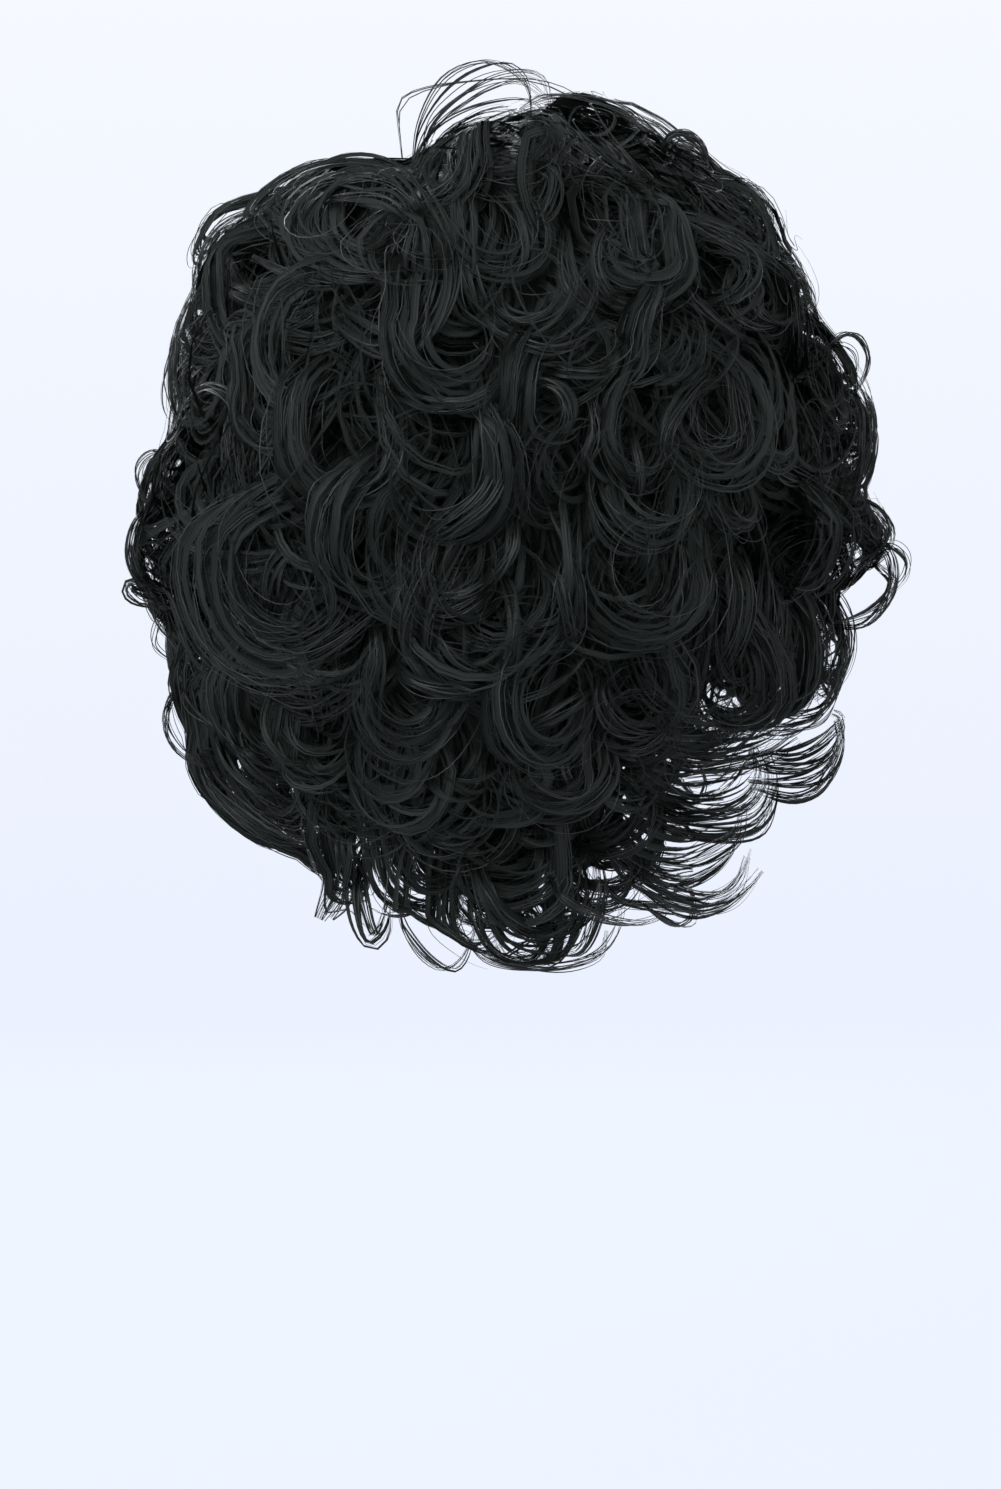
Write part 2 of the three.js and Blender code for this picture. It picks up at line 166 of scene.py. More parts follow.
def overHair(across, up):
    # the point of the outer hair that shows there, as arrays
    form = formAt(curls["ringDepth"])
    y = np.full(np.shape(across), 60.0)
    for _ in range(4):
        x, z = placeAt(across, up, y)
        height = z - form["level"]
        share = np.abs(height) / np.where(height > 0, form["rise"], form["fall"])
        level = np.maximum(0, 1 - np.minimum(share, 1) ** form["fullness"]) ** (2 / form["fullness"])
        overCap = form["back"] * np.sqrt(np.maximum(0.03, level - (x / form["halfWidth"]) ** 2))
        aside = np.maximum(0, 1 - (x / (napeHollow["halfWidth"] + napeHollow["lift"])) ** 2)
        y = np.maximum(overCap, np.sqrt(aside) * (napeHollow["back"] + napeHollow["lift"]))
    x, z = placeAt(across, up, y)
    return np.stack([x, y, z], axis=-1)


# What the curls are built from
curls = {
    "ringDepth": 0.9,
    "rootAbove": 18,        # degrees from a ring up to where its lock is sewn on
    "bodyPoints": 7,
    "ringPoints": 16,
    "sheets": 12,           # flat sheets of hair, and single threads, in a whole lock
    "threads": 11,
    "sheetHalf": 1.7,       # half widths in millimetres
    "threadHalf": 0.2,
    "spread": 0.42,         # share of the radius that a lock's hair spreads over
    "shrink": 0.25,         # how much a ring closes towards its tip
    "sway": 7,              # how far a lock swings to a side on its way down
    "tilt": 26,             # degrees that a ring leans at random
    "cut": (0.65, 1.15),    # shares of the sweep that the strands have
    "layers": 3.5,          # how far a lock's hair lies apart outwards, and strays from there
    "stray": 0.9,
    "scatter": (2.0, 3.0),  # how far strands stray aside and along
    "pitch": 2.2,           # how far a ring winds outwards in a radian
    "rootSpread": 4.0,      # degrees that a lock's roots spread over, and stray
    "rootStray": 1.6,
    "rootDepth": 0.45,
    "bend": 0.38,           # where a lock bends from its root towards its ring
    "drift": ((1.1, 0.9), (2.4, 0.35)),     # waves along a strand, and how far they swing
    "roll": 0.22,
    "seed": 7,
}

# The curls of the back, as they lie: across is a share of the half width to the right as worn,
# drop a share of the height, radius in millimetres. Hand 1 falls on the left of its ring,
# seen from behind, and turns right. Full is its share of a whole lock's hair.
backCurls = [
    # across, drop, radius, hand, sweep, full
    (0.03, 0.05, 15, 1, 250, 1.0),
    (0.30, 0.045, 16, -1, 240, 1.1),
    (0.55, 0.06, 8, 1, 280, 0.6),
    (-0.20, 0.07, 15, -1, 230, 1.0),
    (-0.47, 0.13, 17, 1, 230, 1.0),
    (-0.40, 0.20, 24, -1, 200, 1.2),
    (-0.60, 0.10, 14, -1, 210, 0.9),
    (-0.76, 0.22, 17, 1, 220, 1.0),
    (-0.85, 0.15, 13, -1, 250, 0.5),
    (0.10, 0.21, 16, 1, 250, 1.0),
    (0.40, 0.18, 15, -1, 290, 1.0),
    (0.66, 0.20, 12, 1, 260, 0.9),
    (0.78, 0.22, 9, -1, 260, 0.7),
    (0.74, 0.13, 14, -1, 200, 1.0),
    (-0.16, 0.27, 18, 1, 230, 1.1),
    (-0.05, 0.14, 16, -1, 220, 1.0),
    (0.28, 0.27, 14, -1, 260, 1.0),
    (0.50, 0.27, 14, 1, 230, 1.0),
    (-0.55, 0.27, 18, 1, 240, 1.0),
    (-0.88, 0.33, 12, -1, 260, 0.9),
    (-0.68, 0.34, 14, 1, 220, 0.9),
    (0.90, 0.27, 10, 1, 250, 0.8),
    (1.04, 0.29, 7, -1, 320, 0.4),
    (-0.47, 0.38, 18, 1, 310, 1.1),
    (-0.85, 0.43, 14, -1, 260, 1.0),
    (-0.18, 0.42, 20, -1, 240, 1.2),
    (0.13, 0.35, 12, 1, 280, 0.9),
    (0.17, 0.40, 16, -1, 270, 1.0),
    (0.61, 0.365, 18, -1, 330, 1.1),
    (0.38, 0.36, 13, 1, 220, 0.9),
    (0.90, 0.38, 14, 1, 300, 0.8),
    (1.00, 0.36, 13, -1, 280, 0.7),
    (0.67, 0.45, 12, -1, 240, 0.9),
    (0.42, 0.45, 15, 1, 220, 1.0),
    (-1.03, 0.43, 8, 1, 300, 0.6),
    (-1.02, 0.47, 11, -1, 250, 0.9),
    (-0.66, 0.53, 26, 1, 240, 1.2),
    (-0.58, 0.54, 14, -1, 290, 0.8),
    (-0.38, 0.50, 16, 1, 210, 1.0),
    (-0.15, 0.52, 19, -1, 250, 1.2),
    (-0.10, 0.60, 17, 1, 230, 1.0),
    (0.40, 0.54, 20, -1, 280, 1.2),
    (0.10, 0.58, 14, -1, 280, 0.9),
    (1.00, 0.47, 10, 1, 300, 0.5),
    (1.09, 0.48, 8, -1, 330, 0.35),
    (0.88, 0.52, 14, -1, 260, 0.9),
    (-0.88, 0.60, 14, 1, 230, 0.9),
    (-1.04, 0.53, 11, 1, 300, 0.4),
    (0.72, 0.58, 20, -1, 190, 1.2),
    (0.97, 0.62, 12, -1, 240, 0.6),
    (-1.00, 0.61, 9, -1, 270, 0.5),
    (-0.58, 0.64, 21, 1, 210, 1.2),
    (-0.30, 0.66, 17, -1, 220, 1.0),
    (0.40, 0.68, 14, -1, 300, 0.9),
    (0.38, 0.72, 18, 1, 230, 1.1),
    (0.13, 0.68, 16, 1, 260, 1.0),
    (-0.68, 0.75, 25, 1, 190, 1.2),
    (-0.88, 0.68, 15, -1, 230, 0.8),
    (-0.93, 0.71, 12, 1, 250, 0.3),
    (0.66, 0.68, 18, 1, 210, 1.0),
    (-0.13, 0.79, 18, 1, 230, 1.1),
    (0.15, 0.76, 16, -1, 240, 1.1),
    (-0.42, 0.78, 18, -1, 160, 1.1),
    (0.33, 0.80, 16, 1, 220, 1.1),
    (-0.24, 0.86, 15, 1, 190, 1.0),
    (0.02, 0.87, 16, -1, 200, 1.0),
    (-0.44, 0.88, 14, 1, 70, 0.8),
    (-0.52, 0.88, 13, -1, 80, 0.7),
    (-0.22, 0.92, 12, 1, 260, 0.25),
    (0.13, 0.92, 14, 1, 280, 0.8),
    (-0.06, 0.93, 15, 1, 120, 1.0),
    (0.30, 0.88, 13, 1, 220, 0.8),
    (0.06, 0.95, 12, -1, 160, 0.7),
    (-0.86, 0.73, 20, 1, 200, 1.0),
    (-0.78, 0.80, 21, 1, 190, 1.0),
    (-0.95, 0.66, 16, 1, 220, 0.8),
    (-0.62, 0.84, 18, 1, 165, 0.9),
    (-0.92, 0.78, 15, 1, 210, 0.4),
    (1.02, 0.64, 13, -1, 260, 0.35),
    (1.10, 0.42, 10, -1, 290, 0.25),
    (-1.10, 0.44, 9, 1, 280, 0.25),
    (-1.12, 0.57, 10, 1, 280, 0.25),
    (-1.04, 0.72, 11, 1, 260, 0.25),
    (0.92, 0.12, 8, -1, 280, 0.25),
    (-0.95, 0.12, 14, 1, 200, 0.3),
    (-0.66, 0.08, 16, 1, 190, 0.4),
    (0.70, 0.66, 15, -1, 240, 1.0),
    (0.82, 0.65, 14, -1, 240, 1.0),
    (0.58, 0.71, 14, 1, 230, 1.0),
    (-0.70, 0.70, 17, 1, 230, 1.1),
    (-0.62, 0.76, 17, -1, 220, 1.1),
    (-0.74, 0.77, 16, 1, 230, 1.0),
    (-0.56, 0.81, 16, 1, 220, 1.0),
]

# The rest lies in rings round the cap, the same on both sides but for chance
ringCurls = [
    # from and to turn, count, fall, radius, full
    (95, 165, 3, 12, 16, 1.0),
    (88, 176, 5, 27, 17, 1.0),
    (96, 174, 5, 40, 16, 1.0),
    (148, 176, 3, 52, 14, 0.9),
    (142, 172, 3, 62, 12, 0.7),
    (70, 128, 4, 50, 16, 1.0),
    (66, 126, 4, 62, 16, 1.0),
    (72, 130, 4, 74, 16, 1.0),
    (78, 127, 4, 86, 16, 1.0),
    (82, 130, 4, 97, 16, 1.0),
    (84, 126, 4, 108, 16, 1.0),
    (92, 124, 3, 119, 15, 0.9),
]


def frameOf(centre, down, turnWay, entry, rng):
    # leans a ring by chance, and gives its centre and its three ways
    out = unit(np.cross(down, turnWay))
    if out @ (centre - capMiddle) < 0:
        out = -out
    lean = np.radians(rng.normal(0, curls["tilt"], 2).clip(-45, 45))
    down = unit(down * math.cos(lean[0]) + out * math.sin(lean[0]))
    turnWay = unit(turnWay * math.cos(lean[1]) + out * math.sin(lean[1]))
    turnWay = unit(turnWay - (turnWay @ down) * down)
    across = unit(np.cross(turnWay, down))
    across = across if across @ out > 0 else -across
    return dict(entry, centre=centre, down=down, turnWay=turnWay, out=across, tall=rng.uniform(0.85, 1.3),
                sway=rng.normal(0, curls["sway"]), rootSide=math.radians(rng.normal(0, 4.5)),
                begin=rng.uniform(-0.5, 0.3))


def chartedLock(row, rng):
    across, drop, radius, hand, sweep, full = row
    centre = overHair(np.array(across * dressed["halfWidth"]), np.array(hairTop - drop * hairHeight))
    turn, fall = anglesAt(centre)
    down = downAt(curls["ringDepth"], turn, fall)
    turnWay = np.array([1.0, -0.7 * math.sin(turn), 0]) * -hand
    turnWay = unit(turnWay - (turnWay @ down) * down)
    entry = {"radius": radius, "sweep": math.radians(sweep), "full": full, "turn": turn, "fall": fall}
    return frameOf(centre, down, turnWay, entry, rng)


def ringLock(turn, fall, depth, radius, full, rng, sweep=(190, 310)):
    turn, fall = math.radians(turn), math.radians(fall)
    centre = toOutline(onHair(depth, turn, fall))
    down = downAt(depth, turn, fall)
    around = np.array([math.cos(turn), -math.sin(turn), 0])
    hand = 1 if rng.random() < 0.5 else -1
    lean = math.radians(rng.uniform(0, 50))
    out = unit(np.cross(down, around))
    out = out if out @ (centre - capMiddle) > 0 else -out
    turnWay = unit(around * hand * math.cos(lean) + out * math.sin(lean))
    turnWay = unit(turnWay - (turnWay @ down) * down)
    sweep = math.radians(rng.uniform(*sweep))
    entry = {"radius": radius, "sweep": sweep, "full": full, "turn": turn, "fall": fall}
    return frameOf(centre, down, turnWay, entry, rng)


def strandsOf(lock, count, rng, loose=1.0, bodyPoints=None, ringPoints=None):
    # the middle lines of a lock's strands, as an array of strands, points and coordinates
    bodyPoints, ringPoints = bodyPoints or curls["bodyPoints"], ringPoints or curls["ringPoints"]
    radius = lock["radius"]
    a = rng.uniform(-1, 1, count)
    b = rng.uniform(-1, 1, count) * np.sqrt(1 - 0.8 * a * a)
    size = radius * (1 + curls["spread"] * a * loose + rng.normal(0, 0.06, count))
    sweep = lock["sweep"] * rng.uniform(*curls["cut"], count)
    aside, along = curls["scatter"]
    outward = b * curls["layers"] + rng.normal(0, curls["stray"], count)
    centre = (lock["centre"] + lock["out"] * outward[:, None]
              + lock["turnWay"] * rng.normal(0, aside * loose, count)[:, None]
              + lock["down"] * rng.normal(0, along * loose, count)[:, None])
    pitch = rng.normal(0.0, curls["pitch"] * loose, count)
    begin = lock["begin"]
    start = centre + (-math.cos(begin) * lock["turnWay"] + math.sin(begin) * lock["down"]) * size[:, None]

    rootSide = a * curls["rootSpread"] + rng.normal(0, curls["rootStray"] * loose, count)
    rootTurn = lock["turn"] * 0.97 + lock["rootSide"] + rootSide * math.pi / 180
    rootRise = math.radians(curls["rootAbove"]) * rng.uniform(0.8, 1.3, count)
    rootFall = np.maximum(lock["fall"] - rootRise, 0.05)
    rootDepth = curls["rootDepth"] + 0.12 * b + rng.uniform(-0.08, 0.08, count)
    root = onHair(rootDepth, rootTurn, rootFall)
    rootWay = unit(downAt(rootDepth, rootTurn, rootFall) + 0.35 * outwards(root))
    length = np.linalg.norm(start - root, axis=1)[:, None] * curls["bend"]
    knots = [root, root + rootWay * length, start - lock["down"] * length, start]

    t = np.linspace(0, 1, bodyPoints, endpoint=False)[None, :, None]
    k = [p[:, None, :] for p in knots]
    body = (1 - t) ** 3 * k[0] + 3 * (1 - t) ** 2 * t * k[1] + 3 * (1 - t) * t * t * k[2] + t ** 3 * k[3]
    body = body + np.sin(math.pi * t) ** 2 * lock["sway"] * lock["turnWay"]
    share = np.linspace(0, 1, ringPoints)[None, :]
    angle = begin + (sweep[:, None] - begin) * share
    reach = size[:, None] * (1 - curls["shrink"] * share ** 1.3)
    side = (-np.cos(angle)[..., None] * lock["turnWay"]
            + (lock["tall"] * np.sin(angle))[..., None] * lock["down"])
    wound = lock["out"] * (pitch[:, None] * (angle - begin))[..., None]
    ring = centre[:, None, :] + side * reach[..., None] + wound
    line = np.concatenate([body, ring], axis=1)

    along = np.linspace(0, 1, line.shape[1])[None, :]
    for wave, amount in curls["drift"]:
        for way in (lock["turnWay"], lock["out"], lock["down"]):
            phase = rng.uniform(0, 2 * math.pi, count)[:, None]
            drift = np.sin(2 * math.pi * wave * along + phase) * amount * loose * (0.4 + along)
            line = line + drift[..., None] * way
    return line


# How far hair may reach: how far clear of the nape's hollow, how deep, and how far inside the outline
limits = {"aside": 2, "behind": 4, "below": -150, "back": 142.0, "front": 122.0, "inside": 2,
          "keepDeep": 0.4, "keepOut": 0.3}


def settle(line):
    # hair stays clear of the nape's hollow and inside the outline
    x, y, z = line[..., 0], line[..., 1], line[..., 2]
    wide, deep = napeHollow["halfWidth"] + limits["aside"], napeHollow["back"] + limits["behind"]
    reach = np.sqrt((x / wide) ** 2 + (y / deep) ** 2)
    push = np.where((z < limits["below"]) & (y > 0), np.maximum(1 / np.maximum(reach, 0.2), 1), 1)
    x, y = x * push, y * push
    over = np.abs(y) / np.where(y > 0, limits["back"], limits["front"])
    y = y * np.where(over > 1, (1 + (over - 1) * limits["keepDeep"]) / np.maximum(over, 1), 1)
    reach, distance = outlineAt(*seenAt(x, y, z))
    reach = reach - limits["inside"]
    drawnTo = (reach + (distance - reach) * limits["keepOut"]) / np.maximum(distance, 1)
    return drawn(np.stack([x, y, z], axis=-1), np.where(distance > reach, drawnTo, 1))


threadFray = -3.0       # a fray below zero marks single threads, which have no gaps


def tubes(line, half, thick, facing, tone, fray, rng):
    # three-sided closed tubes along the lines: sheets of hair are flattened and face a way
    strands, points, _ = line.shape
    way = unit(np.gradient(line, axis=1))
    wide = unit(np.cross(way, facing[:, None, :]))
    deep = np.cross(wide, way)
    roll = rng.normal(0, curls["roll"], strands)[:, None, None]
    wide, deep = wide * np.cos(roll) + deep * np.sin(roll), deep * np.cos(roll) - wide * np.sin(roll)
    along = np.linspace(0, 1, points)[None, :]
    taper = (0.6 + 0.4 * smooth(along, 0, 0.2)) * (1 - 0.72 * smooth(along, 0.45, 1.0))
    halfWide = (half[:, None] * taper)[..., None]
    halfDeep = (thick[:, None] * taper)[..., None]
    corners = []
    for i in range(3):
        angle = 2 * math.pi * i / 3 - math.pi / 2
        corners.append(line + wide * math.cos(angle) * halfWide + deep * math.sin(angle) * halfDeep)
    verts = np.stack(corners, axis=2).reshape(-1, 3)

    first = np.arange(strands)[:, None] * points * 3
    ring = first + np.arange(points - 1)[None, :] * 3
    quads = []
    for i in range(3):
        j = (i + 1) % 3
        quads.append(np.stack([ring + i, ring + j, ring + 3 + j, ring + 3 + i], axis=-1).reshape(-1, 4))
    quads = np.concatenate(quads)
    last = first[:, 0] + (points - 1) * 3
    caps = np.concatenate([np.stack([first[:, 0] + 2, first[:, 0] + 1, first[:, 0]], axis=-1),
                           np.stack([last, last + 1, last + 2], axis=-1)])
    distance = np.cumsum(np.linalg.norm(np.diff(line, axis=1, prepend=line[:, :1]), axis=2), axis=1)
    side = np.array([0.0, 1.0, -1.0])[None, None, :] + np.zeros_like(distance)[..., None]
    u = side * half[:, None, None] + rng.uniform(0, 400, strands)[:, None, None]
    v = np.repeat((distance + rng.uniform(0, 400, strands)[:, None])[..., None], 3, axis=2)
    frayed = np.tile(fray * along[0] ** 1.5 if fray > 0 else fray * np.ones(points), strands)
    return {"verts": verts, "quads": quads, "caps": caps, "uv": np.stack([u, v], axis=-1).reshape(-1, 2),
            "tone": np.repeat(tone, points * 3), "fray": np.repeat(frayed, 3), "side": side.ravel()}


def joinParts(parts):
    joined, base = {}, 0
    for part in parts:
        for key in ("quads", "caps"):
            part[key] = part[key] + base
        base += len(part["verts"])
    for key in parts[0]:
        joined[key] = np.concatenate([part[key] for part in parts])
    return joined


def meshObject(name, part):
    mesh = bpy.data.meshes.new(name)
    quads, caps = part["quads"], part["caps"]
    corners = np.concatenate([quads.ravel(), caps.ravel()])
    mesh.vertices.add(len(part["verts"]))
    mesh.vertices.foreach_set("co", (part["verts"] / 1000).astype(np.float32).ravel())
    mesh.loops.add(len(corners))
    mesh.loops.foreach_set("vertex_index", corners.astype(np.int32))
    starts = np.concatenate([np.arange(len(quads)) * 4, len(quads) * 4 + np.arange(len(caps)) * 3])
    mesh.polygons.add(len(starts))
    mesh.polygons.foreach_set("loop_start", starts.astype(np.int32))
    mesh.update(calc_edges=True)
    mesh.polygons.foreach_set("use_smooth", np.ones(len(starts), dtype=bool))
    # the long edges of a sheet are sharp, so that its face is flat across and smooth along
    edges = np.empty(len(mesh.edges) * 2, dtype=np.int32)
    mesh.edges.foreach_get("vertices", edges)
    edges = edges.reshape(-1, 2)
    isSharp = (edges[:, 0] % 3 == edges[:, 1] % 3) & (part["fray"][edges[:, 0]] >= 0)
    mesh.attributes.new("sharp_edge", "BOOLEAN", "EDGE").data.foreach_set("value", isSharp)
    layer = mesh.uv_layers.new(name="strand")
    layer.data.foreach_set("uv", part["uv"][corners].astype(np.float32).ravel())
    for title in ("tone", "fray", "side"):
        attribute = mesh.attributes.new(title, "FLOAT", "POINT")
        attribute.data.foreach_set("value", part[title].astype(np.float32))
    mesh.validate()
    made = bpy.data.objects.new(name, mesh)
    bpy.context.scene.collection.objects.link(made)
    return made


def hairOfLock(lock, rng, isInner=False):
    parts = []
    facing = unit(lock["out"] + 0.4 * outwards(lock["centre"]))
    toneOfLock = rng.uniform(0, 1)
    # how many, half width, how loose, fray
    kinds = ((curls["sheets"], curls["sheetHalf"], 0.8, 0.6),
             (curls["threads"], curls["threadHalf"], 1.15, threadFray))
    points = None, None
    if isInner:
        kinds = ((fill["sheets"], fill["sheetHalf"], 1.0, 0.4),)
        points = fill["bodyPoints"], fill["ringPoints"]
    for count, half, loose, fray in kinds:
        count = max(3, round(count * lock["full"]))
        line = settle(strandsOf(lock, count, rng, loose, *points))
        halves = np.minimum(half, 0.32 * lock["radius"]) * rng.uniform(0.65, 1.3, count)
        tone = np.clip(toneOfLock * 0.6 + rng.uniform(0, 0.4, count), 0, 1)
        deep = np.clip(halves * 0.08, 0.16, 0.3)
        parts.append(tubes(line, halves, deep, np.tile(facing, (count, 1)), tone, fray, rng))
    return parts


# The rows, as on the cap: which node each stands for, and the angles that its roots lie in
rows = [
    # node, turned from the back at most, or at least for the front, top and bottom fall
    {"node": "crown_row", "from": 0, "to": 180, "top": 0, "bottom": 38},
    {"node": "fringe_row", "from": 128, "to": 180, "top": 38, "bottom": 180},
    {"node": "upper_row", "from": 0, "to": 128, "top": 38, "bottom": 65},
    {"node": "middle_row", "from": 0, "to": 128, "top": 65, "bottom": 91},
    {"node": "lower_row", "from": 0, "to": 128, "top": 91, "bottom": 118},
    {"node": "nape_row", "from": 0, "to": 128, "top": 118, "bottom": 180},
]


def rowOf(lock):
    turn = abs(math.degrees(lock["turn"])) % 360
    turn = min(turn, 360 - turn)
    fall = max(math.degrees(lock["fall"]) - curls["rootAbove"] / 2, 5)
    for row in rows:
        if row["from"] <= turn <= row["to"] and row["top"] <= fall <= row["bottom"]:
            return row["node"]
    return "nape_row"


rng = np.random.default_rng(curls["seed"])
locks = [chartedLock(row, rng) for row in backCurls]
for low, high, count, fall, radius, full in ringCurls:
    for side in (1, -1):
        for turn in np.linspace(low, high, count):
            place = side * (turn + rng.normal(0, 2.5)), fall + rng.normal(0, 2.0)
            size = radius * rng.uniform(0.75, 1.25)
            depth = curls["ringDepth"] + rng.normal(0, 0.04)
            locks.append(ringLock(*place, depth, size, full, rng))
# Long thin waves lie over the rings
waves = {"count": 24, "depth": 0.94, "radius": (16, 28), "sweep": (60, 150), "full": 0.4, "lowest": 112}
for i in range(waves["count"]):
    turn, fall = rng.uniform(-125, 125), math.degrees(math.acos(rng.uniform(-0.5, 0.97)))
    fall = min(fall, waves["lowest"]) if abs(turn) > 80 else fall
    radius = rng.uniform(*waves["radius"])
    locks.append(ringLock(turn, fall, waves["depth"], radius, waves["full"], rng, waves["sweep"]))
charted = len(locks)

# Shorter locks fill the hair between the rings, a layer further in
fill = {"count": 240, "depth": 0.68, "radius": 17, "sheets": 7, "sheetHalf": 2.3, "bodyPoints": 5,
        "ringPoints": 13, "lowest": 114}
for i in range(fill["count"]):
    turn = rng.uniform(-128, 128)
    fall = math.degrees(math.acos(rng.uniform(-0.55, 0.99)))
    fall = min(fall, fill["lowest"]) if abs(turn) > 80 else fall
    size = fill["radius"] * rng.uniform(0.7, 1.4)
    depth = fill["depth"] + rng.uniform(-0.1, 0.1)
    locks.append(ringLock(turn, fall, depth, size, rng.uniform(0.8, 1.2), rng))
# And the hair that hangs at the nape
nape = {"count": 66, "left": -94, "right": 60, "top": -206, "drop": 58, "span": 72, "radius": (9, 17),
        "sweep": (110, 260), "full": 1.5, "deepest": 18}
for i in range(nape["count"]):
    across = rng.uniform(nape["left"], nape["right"])
    up = nape["top"] - nape["drop"] * max(0.1, 1 - (across / nape["span"]) ** 2) * rng.uniform(0.1, 1.0)
    radius = rng.uniform(*nape["radius"])
    hand = 1 if rng.random() < 0.5 else -1
    lock = chartedLock((across / dressed["halfWidth"], (hairTop - up) / hairHeight, radius, hand,
                        rng.uniform(*nape["sweep"]), nape["full"]), rng)
    inwards = np.array([lock["centre"][0] * 0.35, lock["centre"][1], 0])
    lock["centre"] = lock["centre"] - unit(inwards) * rng.uniform(0, nape["deepest"])
    locks.append(lock)

